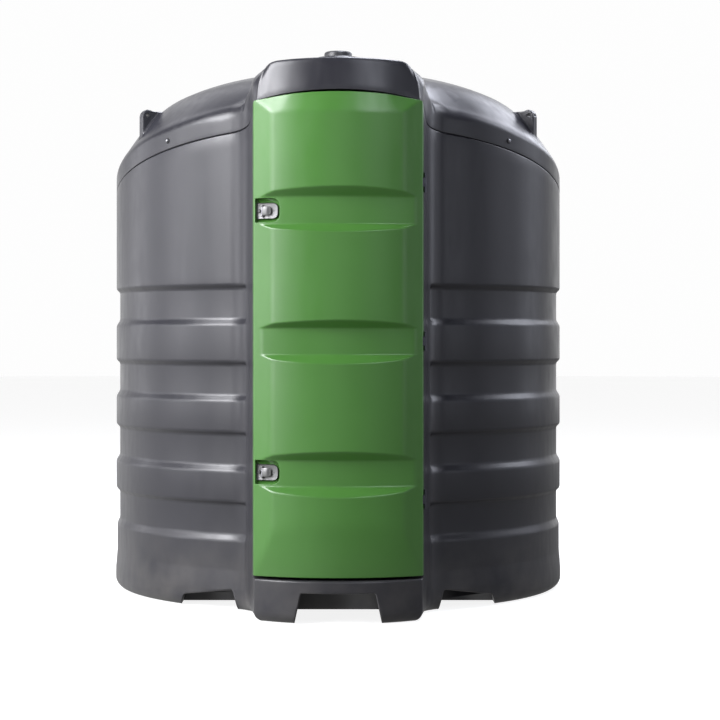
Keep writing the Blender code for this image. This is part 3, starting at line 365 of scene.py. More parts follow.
def moulded_plastic(name, colour, roughness, dust=0.35):
    """Rotomoulded plastic: soft mottling, fine orange peel, scuffs, dust low down."""
    made = Surface(name)
    broad = made.remap(made.noise(1.7, 4.0), 0.3, 0.7)
    tone = made.blend(broad, scaled(colour, 0.93), scaled(colour, 1.07))
    specks, streaks = made.noise(130.0), made.noise(9.0, stretch=(1.0, 1.0, 0.06))
    for amount, low, high, most, lighter in ((specks, 0.62, 0.78, 0.16, 1.35),
                                             (streaks, 0.52, 0.80, 0.12, 1.25),
                                             (made.crest(), 0.52, 0.58, 0.25, 1.6)):
        tone = made.blend(made.remap(amount, low, high, 0.0, most), tone, scaled(colour, lighter))
    grime = made.remap(made.height(), 0.0, DUST_HEIGHT, dust, 0.0)
    patchy = made.math("MULTIPLY", grime, made.remap(made.noise(6.0, 5.0), 0.3, 0.75))
    tone = made.blend(patchy, tone, DUST)
    scuffs = made.remap(made.noise(22.0, 5.0, (1.0, 1.0, 0.35)), 0.35, 0.75, -0.035, 0.055)
    rough = made.math("ADD", made.math("ADD", scuffs, roughness),
                      made.math("MULTIPLY", patchy, 0.3))
    made.bump(made.noise(320.0, 2.0), 0.0006, 0.10)
    made.bump(made.noise(26.0, 2.0), 0.0015, 0.05)
    return made.finish(tone, rough)


def brushed_metal(name, colour, roughness, grain=40.0):
    """Metal with fine brushed grain, smudges, and painted shade that darkens its hollows."""
    made = Surface(name, metallic=1.0)
    grain_noise = made.noise(60.0, stretch=(1.0, 1.0, grain))
    smudge = made.remap(made.noise(34.0, 4.0), 0.35, 0.7)
    tone = made.blend(smudge, scaled(colour, 0.82), colour)
    # Painted shade: the colour is darker where the surface is hollow (low pointiness), standing in
    # for the shade that falls there
    tone = made.blend(made.remap(made.crest(), 0.40, 0.49, 0.55, 0.0), tone, scaled(colour, 0.3))
    rough = made.math("ADD", made.remap(grain_noise, 0.3, 0.7, -0.05, 0.08), roughness)
    rough = made.math("ADD", rough, made.remap(smudge, 0.0, 1.0, 0.10, 0.0))
    made.bump(grain_noise, 0.0002, 0.25)
    return made.finish(tone, rough)


def rubber(name, colour, roughness):
    """Matt dark plastic or rubber with a fine grain."""
    made = Surface(name, specular=0.35)
    tone = made.blend(made.noise(40.0, 4.0), scaled(colour, 0.75), scaled(colour, 1.3))
    rough = made.math("ADD", made.remap(made.noise(90.0, 2.0), 0.3, 0.7, -0.06, 0.06), roughness)
    made.bump(made.noise(500.0, 2.0), 0.0003, 0.3)
    return made.finish(tone, rough)


GREY = moulded_plastic("grey_plastic", (0.019, 0.019, 0.024), 0.34)
GREEN = moulded_plastic("green_plastic", (0.055, 0.165, 0.030), 0.31, dust=0.12)
INSIDE = moulded_plastic("cabinet_plastic", (0.080, 0.080, 0.086), 0.55)
BLACK = moulded_plastic("cap_plastic", (0.030, 0.030, 0.033), 0.42)
STEEL = brushed_metal("hinge_steel", (0.40, 0.40, 0.43), 0.40)
SILVER = brushed_metal("latch_metal", (0.21, 0.21, 0.21), 0.45, 6.0)
LOCK = brushed_metal("lock_metal", (0.12, 0.12, 0.12), 0.36, 6.0)
HINGE = brushed_metal("hinge_metal", (0.100, 0.102, 0.118), 0.46)
SEAL = rubber("seal_rubber", (0.018, 0.018, 0.019), 0.72)


# Meshes

def outward(bm):
    """Turn all faces outward."""
    bmesh.ops.recalc_face_normals(bm, faces=bm.faces)


def skin(bm, rows, closed=False):
    """Faces between rows of vertices, which may share vertices; closed joins each row's ends."""
    for row, following in zip(rows, rows[1:]):
        count = len(row)
        for i in range(count if closed else count - 1):
            j = (i + 1) % count
            corners = list(dict.fromkeys((row[i], row[j], following[j], following[i])))
            if len(corners) > 2:
                bm.faces.new(corners)


def moved(bm, matrix):
    """Move a whole bmesh."""
    bmesh.ops.transform(bm, matrix=matrix, verts=bm.verts)
    return bm


def merged(target, source):
    """Put one bmesh into another."""
    mesh = mesh_of("joined", source)
    target.from_mesh(mesh)
    bpy.data.meshes.remove(mesh)
    return target


def turned(profile, steps, centre=(0.0, 0.0, 0.0), axis=(0.0, 0.0, 1.0)):
    """A form turned about an axis from (radius, height) points."""
    bm = bmesh.new()
    angles = [2 * math.pi * step / steps for step in range(steps)]
    rows = []
    for radius, z in profile:
        if radius < 1e-6:
            rows.append([bm.verts.new((0.0, 0.0, z))] * steps)
        else:
            rows.append([bm.verts.new((radius * math.cos(angle), radius * math.sin(angle), z))
                         for angle in angles])
    skin(bm, rows, True)
    turn = Vector((0, 0, 1)).rotation_difference(Vector(axis)).to_matrix().to_4x4()
    moved(bm, Matrix.Translation(centre) @ turn)
    outward(bm)
    return bm


def plate(outline, low, high, edge, segments):
    """A plate extruded from an outline, its rims rounded."""
    bm = bmesh.new()
    count = len(outline)
    points = [Vector(point) for point in outline]
    area = sum(points[i].cross(points[(i + 1) % count]) for i in range(count))
    inward = []
    for i in range(count):
        along = (points[(i + 1) % count] - points[i - 1]).normalized()
        inward.append(Vector((-along.y, along.x)) * math.copysign(edge, area))
    turns = quarter(segments)
    rims = [(1 - sine, low + edge * (1 - cosine)) for sine, cosine in turns]
    rims += [(1 - sine, high - edge * (1 - cosine)) for sine, cosine in turns[::-1]]
    rings = [[bm.verts.new((*(point + way * inset), z)) for point, way in zip(points, inward)]
             for inset, z in rims]
    skin(bm, rings, True)
    bm.faces.new(rings[0])
    bm.faces.new(rings[-1])
    outward(bm)
    return bm


def add_piece(name, bm, material, body, replaced=(), sharp=None):
    """Turn a bmesh into a piece that rides on a body."""
    bmesh.ops.remove_doubles(bm, verts=bm.verts, dist=0.00003)
    mesh = mesh_of(name, bm)
    for polygon in mesh.polygons:
        polygon.use_smooth = True
    if sharp is not None:
        mesh.set_sharp_from_angle(angle=math.radians(sharp))
    obj = linked(name, mesh)
    mesh.materials.append(material)
    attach(obj, body)
    if replaced:
        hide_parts(*replaced)
    return obj


def reshaped(obj, kind, **settings):
    """Apply a modifier to a piece."""
    adjusted(obj.modifiers.new(kind, kind), **settings)
    bpy.context.view_layer.update()
    depsgraph = bpy.context.evaluated_depsgraph_get()
    mesh = bpy.data.meshes.new_from_object(obj.evaluated_get(depsgraph))
    obj.modifiers.clear()
    obj.data = mesh


def both_hands(*words):
    """Names of nodes that come as a left and a right one."""
    return [word + hand for word in words for hand in ("_left", "_right")]


# Plan outline

class Station:
    """A point of the plan outline with the way inward from it."""

    def __init__(self, point, part):
        self.point = point
        self.part = part
        self.inward = None
        self.recess = 0.0

    def at(self, depth, z):
        """The place at a depth behind the outline, as a vertex location."""
        place = self.point + self.inward * depth
        return Vector((place.x, -place.y, z))


def front_circle():
    """Radius and centre of the arc across the front."""
    half, forward = CORNER
    rise = FRONT_FORWARD - forward
    radius = (half ** 2 + rise ** 2) / (2 * rise)
    return radius, FRONT_FORWARD - radius


def fillet_control():
    """Where the round shell's tangent meets the cabinet's side."""
    start = Vector((FILLET_START_X, math.sqrt(RIB_RADIUS ** 2 - FILLET_START_X ** 2)))
    end = Vector(FILLET_END)
    along = Vector((-start.y, start.x)).normalized()
    side = (Vector(CORNER) - end).normalized()
    reach = (end - start).cross(side) / along.cross(side)
    return start, start + along * reach, end


def half_outline():
    """Stations of the right half, from the rear middle to the front middle."""
    start, control, end = fillet_control()
    end_angle = math.pi - math.asin(FILLET_START_X / RIB_RADIUS)
    angles = [end_angle * step / CIRCLE_STEPS for step in range(CIRCLE_STEPS)]
    corner = Vector(CORNER)
    side = (corner - end).normalized()
    column = end + side * ((COLUMN_FRONT - end.y) / side.y)
    before = corner - side * CORNER_ROUND
    radius, middle = front_circle()
    after = math.asin(CORNER[0] / radius) - CORNER_ROUND / radius
    turns = [after * (1 - step / FRONT_STEPS) for step in range(FRONT_STEPS + 1)]
    front = [Vector((math.sin(turn) * radius, middle + math.cos(turn) * radius)) for turn in turns]
    parts = (
        ("round", [Vector((math.sin(a), -math.cos(a))) * RIB_RADIUS for a in angles]),
        ("fillet", bezier(start, control, end, FILLET_STEPS)[:-1]),
        ("side", [end.lerp(column, step / SIDE_STEPS) for step in range(SIDE_STEPS)]),
        ("column", [column]),
        ("nose", [column.lerp(before, step / 5) for step in range(1, 5)]),
        ("nose", bezier(before, corner, front[0], CORNER_STEPS)),
        ("front", front[1:]),
    )
    return [Station(point, part) for part, points in parts for point in points]


def full_outline():
    """All stations in order: rear middle, right side, front middle, left side."""
    right = half_outline()
    stations = right + [
        Station(Vector((-station.point.x, station.point.y)), station.part)
        for station in right[-2:0:-1]
    ]
    count = len(stations)
    lean = math.tan(math.acos(corner_cosine()) / 2)
    for i, station in enumerate(stations):
        along = (stations[(i + 1) % count].point - stations[i - 1].point).normalized()
        station.inward = Vector((-along.y, along.x))
        if station.part == "round":
            station.recess = 1.0
        elif station.part == "fillet":
            station.recess = smoothstep(abs(station.point.x), *BAND_END)
        elif station.part in ("nose", "front"):
            corner = Vector((math.copysign(CORNER[0], station.point.x), CORNER[1]))
            gap = station.point - corner
            share = 1.0 - gap.length / MITRE_SPREAD
            if share > 0.0 and gap.length > 0.0:
                if along.dot(gap) < 0:
                    along = -along
                bend = smoothstep(gap.length, 0.0, CORNER_ROUND)
                station.inward += along * lean * share * bend
    return stations


def corner_cosine():
    """Cosine of the turn at the front corner."""
    radius, middle = front_circle()
    side = (Vector(CORNER) - Vector(FILLET_END)).normalized()
    front_normal = Vector((CORNER[0], CORNER[1] - middle)) / radius
    return Vector((side.y, -side.x)).dot(front_normal)


def seam_height(forward):
    """Height of the seam between shell and lid."""
    share = min(max((forward - LIFT_START) / (LIFT_END - LIFT_START), 0.0), 1.0)
    rise = SEAM_FRONT_RISE * max(forward - CORNER[1], 0.0)
    return SEAM_AT_AXIS + SEAM_SLOPE * forward + SEAM_FRONT_LIFT * share + rise


# Body shell

def chain_of(edges):
    """Vertices of connected edges, in order, and whether they close."""
    links = {}
    for edge in edges:
        for a, b in (tuple(edge.verts), tuple(edge.verts)[::-1]):
            links.setdefault(a, []).append(b)
    ends = [vert for vert, others in links.items() if len(others) == 1]
    ends.sort(key=lambda vert: (vert.co.x, vert.co.z))
    start = ends[0] if ends else min(links, key=lambda vert: (vert.co.z, vert.co.x))
    chain = [start]
    before = None
    while True:
        here = chain[-1]
        onward = [vert for vert in links[here] if vert is not before]
        if not onward or (len(chain) > 2 and onward[0] is start):
            break
        before = here
        chain.append(onward[0])
        if len(chain) > len(links):
            break
    return chain, not ends


def inside(polygon, point):
    """Whether a point is inside a convex outline that runs either way round."""
    count = len(polygon)
    signs = []
    for i in range(count):
        edge = polygon[(i + 1) % count] - polygon[i]
        if edge.length < 1e-7:
            continue
        signs.append(edge.cross(point - polygon[i]) > 0)
    return all(signs) or not any(signs)


def inward_at(polygon, point):
    """Direction into a convex outline at a point on it."""
    centre = sum(polygon, Vector((0.0, 0.0))) / len(polygon)
    count = len(polygon)
    total = Vector((0.0, 0.0))
    for i in range(count):
        a, b = polygon[i], polygon[(i + 1) % count]
        along = b - a
        if along.length < 1e-6:
            continue
        share = min(max((point - a).dot(along) / along.length_squared, 0.0), 1.0)
        if (a + along * share - point).length < 1e-4:
            normal = Vector((-along.y, along.x)).normalized()
            if normal.dot(centre - a) < 0:
                normal = -normal
            total += normal
    return total.normalized()


def cut_opening(bm, polygon, place, near, lip, floor):
    """Cut an outline through the faces near it, with a rounded lip, walls and a floor.

    The outline lies in the first two axes of the matrix, and the walls run along its third
    axis to the floor.
    """
    back = place.inverted()
    across = place.to_3x3()

    def region():
        return [face for face in bm.faces if near(back @ face.calc_center_median())]

    count = len(polygon)
    for i in range(count):
        along = polygon[(i + 1) % count] - polygon[i]
        if along.length < 1e-6:
            continue
        faces = region()
        edges = {edge for face in faces for edge in face.edges}
        verts = {vert for face in faces for vert in face.verts}
        normal = across @ Vector((-along.y, along.x, 0.0))
        start = place @ Vector((polygon[i].x, polygon[i].y, 0.0))
        bmesh.ops.bisect_plane(bm, geom=faces + list(edges) + list(verts), plane_co=start,
                               plane_no=normal.normalized(), dist=0.000002)
    doomed = [face for face in region()
              if inside(polygon, (back @ face.calc_center_median()).xy)]
    bmesh.ops.delete(bm, geom=doomed, context="FACES")
    rim = []
    for edge in bm.edges:
        if len(edge.link_faces) != 1:
            continue
        ends = [back @ vert.co for vert in edge.verts]
        middle = (ends[0] + ends[1]) / 2
        if all(near(point) for point in ends) and inward_at(polygon, middle.xy).length > 0.5:
            rim.append(edge)
    chain, closed = chain_of(rim)
    starts = [back @ vert.co for vert in chain]
    inwards = [inward_at(polygon, point.xy) for point in starts]
    levels = [(lip * sine, lip * (1 - cosine), 0.0) for sine, cosine in quarter(4)[1:]]
    levels += [(lip, lip, share) for share in (0.25, 0.5, 0.75, 1.0)]
    rows = [chain]
    for inset, drop, share in levels:
        row = []
        for start, inward in zip(starts, inwards):
            z = start.z - drop
            spot = Vector((start.x + inward.x * inset, start.y + inward.y * inset,
                           z + (floor - z) * share))
            row.append(bm.verts.new(place @ spot))
        rows.append(row)
    skin(bm, rows, closed)
    bm.faces.new(rows[-1])


def column_points(station, rows):
    """Heights and depths up the shell at a station, from the underside to the seam's flange."""
    proud = BANDS[0][1] * station.recess
    places = [(0.0, BASE_EDGE + 0.030)]
    for sine, cosine in quarter(8):
        rise = BASE_EDGE * (1 - cosine)
        places.append((rise, BASE_EDGE * (1 - sine) + proud * smoothstep(rise, 0.0, BASE_EDGE)))
    places.append((0.080, proud))
    places += [(z, depth * station.recess) for z, depth in rows]
    top = seam_height(station.point.y) - SEAM_HALF_GAP
    low = BANDS[-1][0]
    places += [(low + (top - 0.006 - low) * k / WALL_STEPS, 0.0)
               for k in range(1, WALL_STEPS + 1)]
    return places + [
        (top - 0.0025, 0.0008), (top - 0.0006, 0.0028), (top, 0.006), (top, 0.013),
        (top + 0.016, 0.0135),
    ]


def notch_zone(side):
    """Test for the part of the shell round one fork pocket."""
    def near(point):
        return 0.40 < point.x * side < 0.90 and point.y < 0.16 and point.z > 0.70
    return near


def arch_zone(point):
    """Test for the part of the foot round the arch."""
    return abs(point.x) < 0.30 and point.y < 0.196 and point.z > 1.35


def make_body(stations):
    """Round shell, columns beside the door and foot, as one smooth skin."""
    bm = bmesh.new()
    rows = [tuple(point) for point in rounded_path(BANDS, BAND_ROUND)]
    foot_rim = FOOT_TOP - FOOT_ROUND
    grid = []
    for station in stations:
        places = column_points(station, rows)
        if station.part in ("nose", "front"):
            places = [place for place in places if place[0] < foot_rim - 0.002]
        grid.append([bm.verts.new(station.at(depth, z)) for z, depth in places])
    foot_rows = min(len(column) for column in grid)
    for here, following in zip(grid, grid[1:] + grid[:1]):
        for k in range(min(len(here), len(following)) - 1):
            bm.faces.new((here[k], following[k], following[k + 1], here[k + 1]))
    fronts = [i for i, station in enumerate(stations)
              if station.part in ("column", "nose", "front")]
    rims = [[grid[i][foot_rows - 1] for i in fronts]]
    levels = [(foot_rim, 0.0)]
    levels += [(FOOT_TOP - FOOT_ROUND * (1 - sine), FOOT_ROUND * (1 - cosine))
               for sine, cosine in quarter(4)[1:]]
    levels.append((FOOT_TOP, SILL_DEPTH))
    for z, depth in levels:
        rims.append([bm.verts.new(stations[i].at(depth, z)) for i in fronts])
    rims.append([bm.verts.new((vert.co.x * 0.9, -SILL_BACK, FOOT_TOP)) for vert in rims[-1]])
    skin(bm, rims)
    for i in (fronts[0], fronts[-1]):
        side = math.copysign(1.0, stations[i].point.x)
        caps = [grid[i][foot_rows - 1:]]
        for reach, drop in ((0.0015, 0.0035), (0.0036, 0.0048), (0.006, 0.005)):
            caps.append([bm.verts.new((vert.co.x - side * reach, vert.co.y - drop, vert.co.z))
                         for vert in caps[0]])
        caps.append([bm.verts.new((side * FRAME_INNER, vert.co.y, vert.co.z))
                     for vert in caps[-1]])
        skin(bm, caps)
    outward(bm)
    place = Matrix(((1, 0, 0, 0), (0, 0, -1, 0), (0, 1, 0, 0), (0, 0, 0, 1)))
    reaches = (0.002, 0.016, 0.016, 0.002)
    for side in (1, -1):
        polygon = rounded_polygon([(side * x, z) for x, z in NOTCH], reaches)
        cut_opening(bm, polygon, place, notch_zone(side), LIP, NOTCH_BACK)
    cut_opening(bm, rounded_polygon(ARCH, reaches), place, arch_zone, LIP, ARCH_BACK)
    outward(bm)
    replaced = both_hands("rear_wall", "rear_side_wall", "side_wall", "front_wall",
                          "cabinet_column", "rear_base", "side_base", "fork_pocket")
    add_piece("body_shell", bm, GREY, "tank", replaced + ["cabinet_foot"])


# Lid

def half_width(forward, table):
    """Half width of the plan at a distance forward."""
    if forward <= table[0][0]:
        return math.sqrt(max(RIB_RADIUS ** 2 - forward ** 2, 1e-6))
    return on_line(table, forward)


def width_table():
    """Forward and half width along the fillet and the side."""
    start, control, end = fillet_control()
    points = bezier(start, control, end, FILLET_STEPS) + [Vector(CORNER)]
    return [(point.y, point.x) for point in points]


def section_height(share, forward):
    """Height of the hood's section at a share of its half width."""
    z = on_line(HOOD_SECTION, share)
    shoulder = HOOD_SHOULDER[0][1]
    for (f0, z0), (f1, z1) in zip(HOOD_SHOULDER, HOOD_SHOULDER[1:]):
        shoulder += (z1 - z0) * smoothstep(forward, f0, f1)
    eaves = HOOD_SECTION[-1][1]
    top = HOOD_SECTION[4][1]
    return z + (shoulder - eaves) * max(top - z, 0.0) / (top - eaves)


def dome_slopes():
    """Slope of the dome's profile at each of its points."""
    slopes = [0.0]
    for before, here, after in zip(DOME_PROFILE, DOME_PROFILE[1:], DOME_PROFILE[2:]):
        back, ahead = here[0] - before[0], after[0] - here[0]
        first = (here[1] - before[1]) / back
        second = (after[1] - here[1]) / ahead
        slopes.append((first * ahead + second * back) / (back + ahead))
    (r0, z0), (r1, z1) = DOME_PROFILE[-2:]
    return slopes + [(z1 - z0) / (r1 - r0)]


DOME_SLOPES = dome_slopes()


def dome_rise(radius):
    """Rise of the dome above its rim, on a smooth curve through its profile."""
    if radius >= DOME_PROFILE[-1][0]:
        return DOME_PROFILE[-1][1]
    k = next(k for k in range(1, len(DOME_PROFILE)) if radius <= DOME_PROFILE[k][0])
    (r0, z0), (r1, z1) = DOME_PROFILE[k - 1:k + 1]
    span = r1 - r0
    t = (radius - r0) / span
    rise = (2 * t ** 3 - 3 * t ** 2 + 1) * z0 + (3 * t ** 2 - 2 * t ** 3) * z1
    rise += (t ** 3 - 2 * t ** 2 + t) * span * DOME_SLOPES[k - 1]
    return rise + (t ** 3 - t ** 2) * span * DOME_SLOPES[k]


def lid_height(x, forward, table):
    """Height of the lid's top surface."""
    radius = math.hypot(x, forward)
    share = min(radius / DOME_RADIUS, 1.0)
    dome = SEAM_AT_AXIS + RIM_HEIGHT + SEAM_SLOPE * forward * share ** 2 + dome_rise(radius)
    blend = smoothstep(forward, HOOD_FROM, HOOD_TO)
    if blend <= 0.0:
        return dome
    ratio = abs(x) / half_width(forward, table)
    total = 0.0
    for offset in (-0.02, -0.01, 0.0, 0.01, 0.02):
        total += section_height(ratio + offset * min(1.0, (1.0 - min(ratio, 1.0)) / 0.03), forward)
    return dome + (total / 5.0 - dome) * blend


def make_lid(stations):
    """Rim, dome and hood as one smooth skin."""
    table = width_table()
    bm = bmesh.new()
    crown = bm.verts.new((0.0, 0.0, lid_height(0.0, 0.0, table)))
    inner_offsets = (0.003, 0.006, 0.0081, 0.0090, 0.0105, 0.013, 0.017, 0.024, 0.034)
    scales = [0.012 * k for k in range(1, 29)] + [0.38, 0.43, 0.49, 0.56, 0.64, 0.73, 0.82, 0.91]
    columns = []
    for station in stations:
        forward = station.point.y
        set_in = 0.0
        bottom = seam_height(forward) + SEAM_HALF_GAP
        if station.part in ("nose", "front"):
            set_in = smoothstep(forward, COLUMN_FRONT, CORNER[1])
            bottom -= HOOD_DROP
        lean = HOOD_LEAN * set_in
        reach = BEND_REACH + BEND_WIDER[0] * smoothstep(forward, *BEND_WIDER[1:])
        reach += HOOD_RISE * lean - BEND_NARROWER[0] * smoothstep(forward, *BEND_NARROWER[1:])
        back = HOOD_SETBACK * set_in
        if station.part == "front":
            back += HOOD_FLATTER * max(1.0 - (station.point.x / CORNER[0]) ** 2, 0.0)
        edge = station.point + station.inward * (back + reach)
        beyond = edge + station.inward * 0.004
        top = lid_height(edge.x, edge.y, table)
        slope = (lid_height(beyond.x, beyond.y, table) - top) / 0.004
        knee = top - reach * min(max(slope, 0.0), STEEPEST)
        lip = 0.006 - 0.0035 * set_in
        places = [station.at(back + 0.012, bottom + 0.010), station.at(back + 0.0115, bottom)]
        places += [station.at(back + lip * depth, bottom + lip * z)
                   for depth, z in ((0.83, 0.0), (0.37, 0.10), (0.10, 0.40), (0.0, 1.0))]
        low = bottom + lip
        high = max(knee - 1.2 * reach, low + 0.004)
        rises = [(high - low) * k / 4 for k in range(1, 5)]
        places += [station.at(back + lean * rise, low + rise) for rise in rises]
        start = Vector((lean * (high - low), high))
        corner = Vector((min(lean * (knee - low), reach * 0.8), knee))
        places += [station.at(back + depth, z)
                   for depth, z in bezier(start, corner, Vector((reach, top)), BEND_STEPS)[1:]]
        inner = [edge + station.inward * offset for offset in inner_offsets]
        inner += [inner[-1] * (1 - scale) for scale in scales]
        places += [(place.x, -place.y, lid_height(place.x, place.y, table)) for place in inner]
        columns.append([bm.verts.new(place) for place in places] + [crown])
    skin(bm, columns + columns[:1])
    outward(bm)
    replaced = both_hands("rear_lid_rim", "side_lid_rim") + ["lid_dome", "door_hood"]
    lid = add_piece("lid", bm, GREY, "tank", replaced)
    reshaped(lid, "SOLIDIFY", thickness=LID_WALL, offset=-1.0)


def lug_contour():
    """Plan of a lug as (radius, across, outward direction), its outer corners rounded."""
    inner, outer, turn = LUG_TOP[0][0], LUG_TOP[-1][0], 0.006
    half = [(inner + (outer - turn - inner) * k / 20, LUG_HALF, (0.0, 1.0)) for k in range(21)]
    half += [(outer - turn + turn * sine, LUG_HALF - turn + turn * cosine, (sine, cosine))
             for sine, cosine in quarter(5)[1:]]
    half += [(outer, LUG_HALF * share, (1.0, 0.0)) for share in (0.5, 0.2)]
    return half + [(s, -t, (a, -b)) for s, t, (a, b) in half[::-1]]


def make_lugs():
    """Lifting lugs, which flare into the dome at their foot, each with an eye."""
    table = width_table()
    rounding, levels, buried = 0.006, 40, 0.030
    for side, hand in ((1, "right"), (-1, "left")):
        out = Vector((side * math.sin(LUG_ANGLE), math.cos(LUG_ANGLE)))
        across = Vector((-out.y, out.x)) * side
        bm = bmesh.new()
        columns = []
        for s, t, (a, b) in lug_contour():
            base = out * s + across * t
            way = out * a + across * b
            top = on_line(LUG_TOP, s)
            foot = lid_height(base.x, base.y, table) - buried
            column = []
            for k in range(levels + 1):
                height = (top - rounding - foot) * k / levels - buried
                low = min(max(height, 0.0), LUG_FLARE)
                flare = LUG_FLARE - math.sqrt(LUG_FLARE ** 2 - (LUG_FLARE - low) ** 2)
                place = base + way * flare * (1.0 - 0.7 * a)
                z = lid_height(place.x, place.y, table) + height
                column.append((place.x, -place.y, z))
            for sine, cosine in quarter(4)[1:]:
                place = base - way * rounding * (1 - cosine)
                column.append((place.x, -place.y, top - rounding * (1 - sine)))
            columns.append([bm.verts.new(place) for place in column])
        skin(bm, columns + columns[:1])
        count = len(columns)
        for level in (0, -1):
            for i in range(count // 2 - 1):
                ring = [columns[k][level] for k in (i, i + 1, count - 2 - i, count - 1 - i)]
                bm.faces.new(ring)
        outward(bm)
        lug = add_piece("lug_" + hand, bm, GREY, "tank",
                        ["lifting_lug_" + hand])
        eye = out * LUG_HOLE[0]
        centre = (eye.x, -eye.y, LUG_HOLE[1])
        axis = Vector((across.x, -across.y, 0.0))
        hole = turned([(0.0, -0.05), (LUG_EYE, -0.05), (LUG_EYE, 0.05), (0.0, 0.05)], 32,
                      centre, axis)
        mesh = mesh_of("hole", hole)
        cutter = linked("hole", mesh)
        reshaped(lug, "BOOLEAN", operation="DIFFERENCE", solver="EXACT", object=cutter)
        bpy.data.objects.remove(cutter)
        bpy.data.meshes.remove(mesh)
        lug.data.set_sharp_from_angle(angle=math.radians(40))
        ring = [(0.0096, LUG_HALF - 0.0008), (0.0108, LUG_HALF + 0.0008),
                (0.0130, LUG_HALF + 0.0010), (0.0148, LUG_HALF - 0.0004)]
        collar = merged(turned(ring, 40, centre, axis), turned(ring, 40, centre, -axis))
        add_piece("lug_eye_" + hand, collar, GREY, "tank")


def make_hatch():
    """Boss with its collar, and the smooth screw cap on it."""
    boss = [
        (0.172, 2.7600), (0.168, 2.7760), (0.158, 2.7860), (0.150, 2.7980), (0.1455, 2.8150),
        (0.143, 2.8400), (0.1405, 2.8800), (0.1385, 2.8920), (0.134, 2.9000), (0.128, 2.9040),
        (0.100, 2.9055), (0.090, 2.9055), (0.0865, 2.9030), (0.085, 2.8960), (0.060, 2.8940),
        (0.0, 2.8940),
    ]
    bm = turned(boss, 64)
    add_piece("hatch_boss", bm, GREY, "tank", ["hatch_collar"], sharp=55)
    cap = [
        (0.0, 2.8965), (0.0740, 2.8965), (0.0770, 2.8985), (0.0770, 2.9260), (0.0762, 2.9320),
        (0.0730, 2.9372), (0.0680, 2.9400), (0.0620, 2.9410), (0.0, 2.9410),
    ]
    add_piece("hatch_screw_cap", turned(cap, 96), BLACK, "tank", ["hatch_cap"],
              sharp=50)


# Door

def arc_forward(x, middle, radius):
    """Forward reach of an arc across the front."""
    return middle - radius + math.sqrt(max(radius ** 2 - x ** 2, 1e-6))


def door_forward(x, z):
    """Forward reach of the door's outer surface."""
    panel = arc_forward(x, FRONT_FORWARD, PANEL_RADIUS)
    for low_lip, low, high, high_lip in DOOR_BANDS:
        if not low_lip - 0.06 < z < high_lip + 0.06:
            continue
        depth = FRONT_FORWARD - BAND_FLOOR_FORWARD
        floor = arc_forward(x, BAND_FLOOR_FORWARD, BAND_FLOOR_RADIUS)
        below = floor + depth * (low - z) / (low - low_lip)
        above = floor + depth * (z - high) / (high_lip - high)
        recess = soft_max(soft_max(floor, below, 0.006), above, 0.006)
        panel = soft_min(panel, recess, 0.005)
    bevel = arc_forward(x, FRONT_FORWARD, PANEL_RADIUS) - TOP_BEVEL_SLOPE * (z - TOP_BEVEL_START)
    panel = soft_min(panel, bevel, 0.004)
    toe = arc_forward(x, FRONT_FORWARD, BOTTOM_ARC_RADIUS)
    toe += BOTTOM_BEVEL_SLOPE * (z - BOTTOM_BEVEL_START)
    panel = soft_min(panel, toe, 0.004)
    crease = arc_forward(PANEL_HALF, FRONT_FORWARD, PANEL_RADIUS)
    chamfer = crease - (abs(x) - PANEL_HALF) * CHAMFER_SLOPE
    facet = crease - (abs(x) - PANEL_HALF) * TOP_FACET_SLOPES[0]
    facet -= (z - TOP_BEVEL_START) * TOP_FACET_SLOPES[1]
    return soft_min(soft_min(panel, chamfer, 0.006), facet, 0.003)


def door_rows():
    """Heights of the door's rows, close together at its creases."""
    marks = []
    for low_lip, low, high, high_lip in DOOR_BANDS:
        marks += [(low_lip - 0.020, low + 0.014), (high - 0.014, high_lip + 0.020)]
    marks.append((BOTTOM_BEVEL_START - 0.030, BOTTOM_BEVEL_START + 0.015))
    heights = []
    z = DOOR_LOW + 0.006
    while z < 2.395:
        heights.append(z)
        fine = any(low <= z <= high for low, high in marks)
        z += 0.0025 if fine else 0.010
    return heights


def door_columns():
    """Places across the door: x on the front, then the rounded edge and the flank."""
    half = CORNER[0] - DOOR_EDGE
    count = 132
    fronts = [("front", -half + 2 * half * k / count) for k in range(count + 1)]
    right = [("edge", share) for share in (0.2, 0.4, 0.6, 0.8, 1.0)]
    right += [("flank", share) for share in (0.33, 0.66, 1.0)]
    left = [(kind, -share) for kind, share in right[::-1]]
    return left + fronts + right


def door_point(column, z):
    """Plan position of a door column at a height."""
    kind, value = column
    if kind == "front":
        return Vector((value, door_forward(value, z)))
    side = math.copysign(1.0, value)
    share = abs(value)
    half = CORNER[0] - DOOR_EDGE
    start = Vector((half, door_forward(half, z)))
    corner = Vector((CORNER[0], door_forward(CORNER[0], z)))
    end = Vector((CORNER[0] + 0.0005, corner.y - 0.0045))
    back = Vector((CORNER[0] + 0.0065, DOOR_BACK))
    if kind == "edge":
        point = bezier(start, corner, end, 10)[round(share * 10)]
    else:
        point = end.lerp(back, share)
    return Vector((point.x * side, point.y))


def door_rim(depth):
    """Distances back and inset round the door's edge, to the back of a door so deep."""
    rim = [(DOOR_RIM * (1 - cosine), DOOR_RIM * (1 - sine)) for sine, cosine in quarter(4)[1:]]
    rim += [(DOOR_RIM + (depth - DOOR_RIM) * share, 0.0) for share in (0.5, 1.0)]
    return [(min(back, depth), inset) for back, inset in rim]


def latch_zone(point):
    """Test for the part of the door round a latch."""
    return abs(point.x) < 0.085 and abs(point.y) < 0.075 and point.z > -0.015


def latch_matrix(height):
    """Place of a latch: x along the plate, y up, z out of the door."""
    along = Vector((math.cos(LATCH_TILT), -math.sin(LATCH_TILT), 0.0))
    up = Vector((0.0, 0.0, 1.0))
    out = along.cross(up)
    matrix = Matrix((along, up, out)).transposed().to_4x4()
    matrix.translation = Vector((LATCH_X, -LATCH_FORWARD, height))
    return matrix


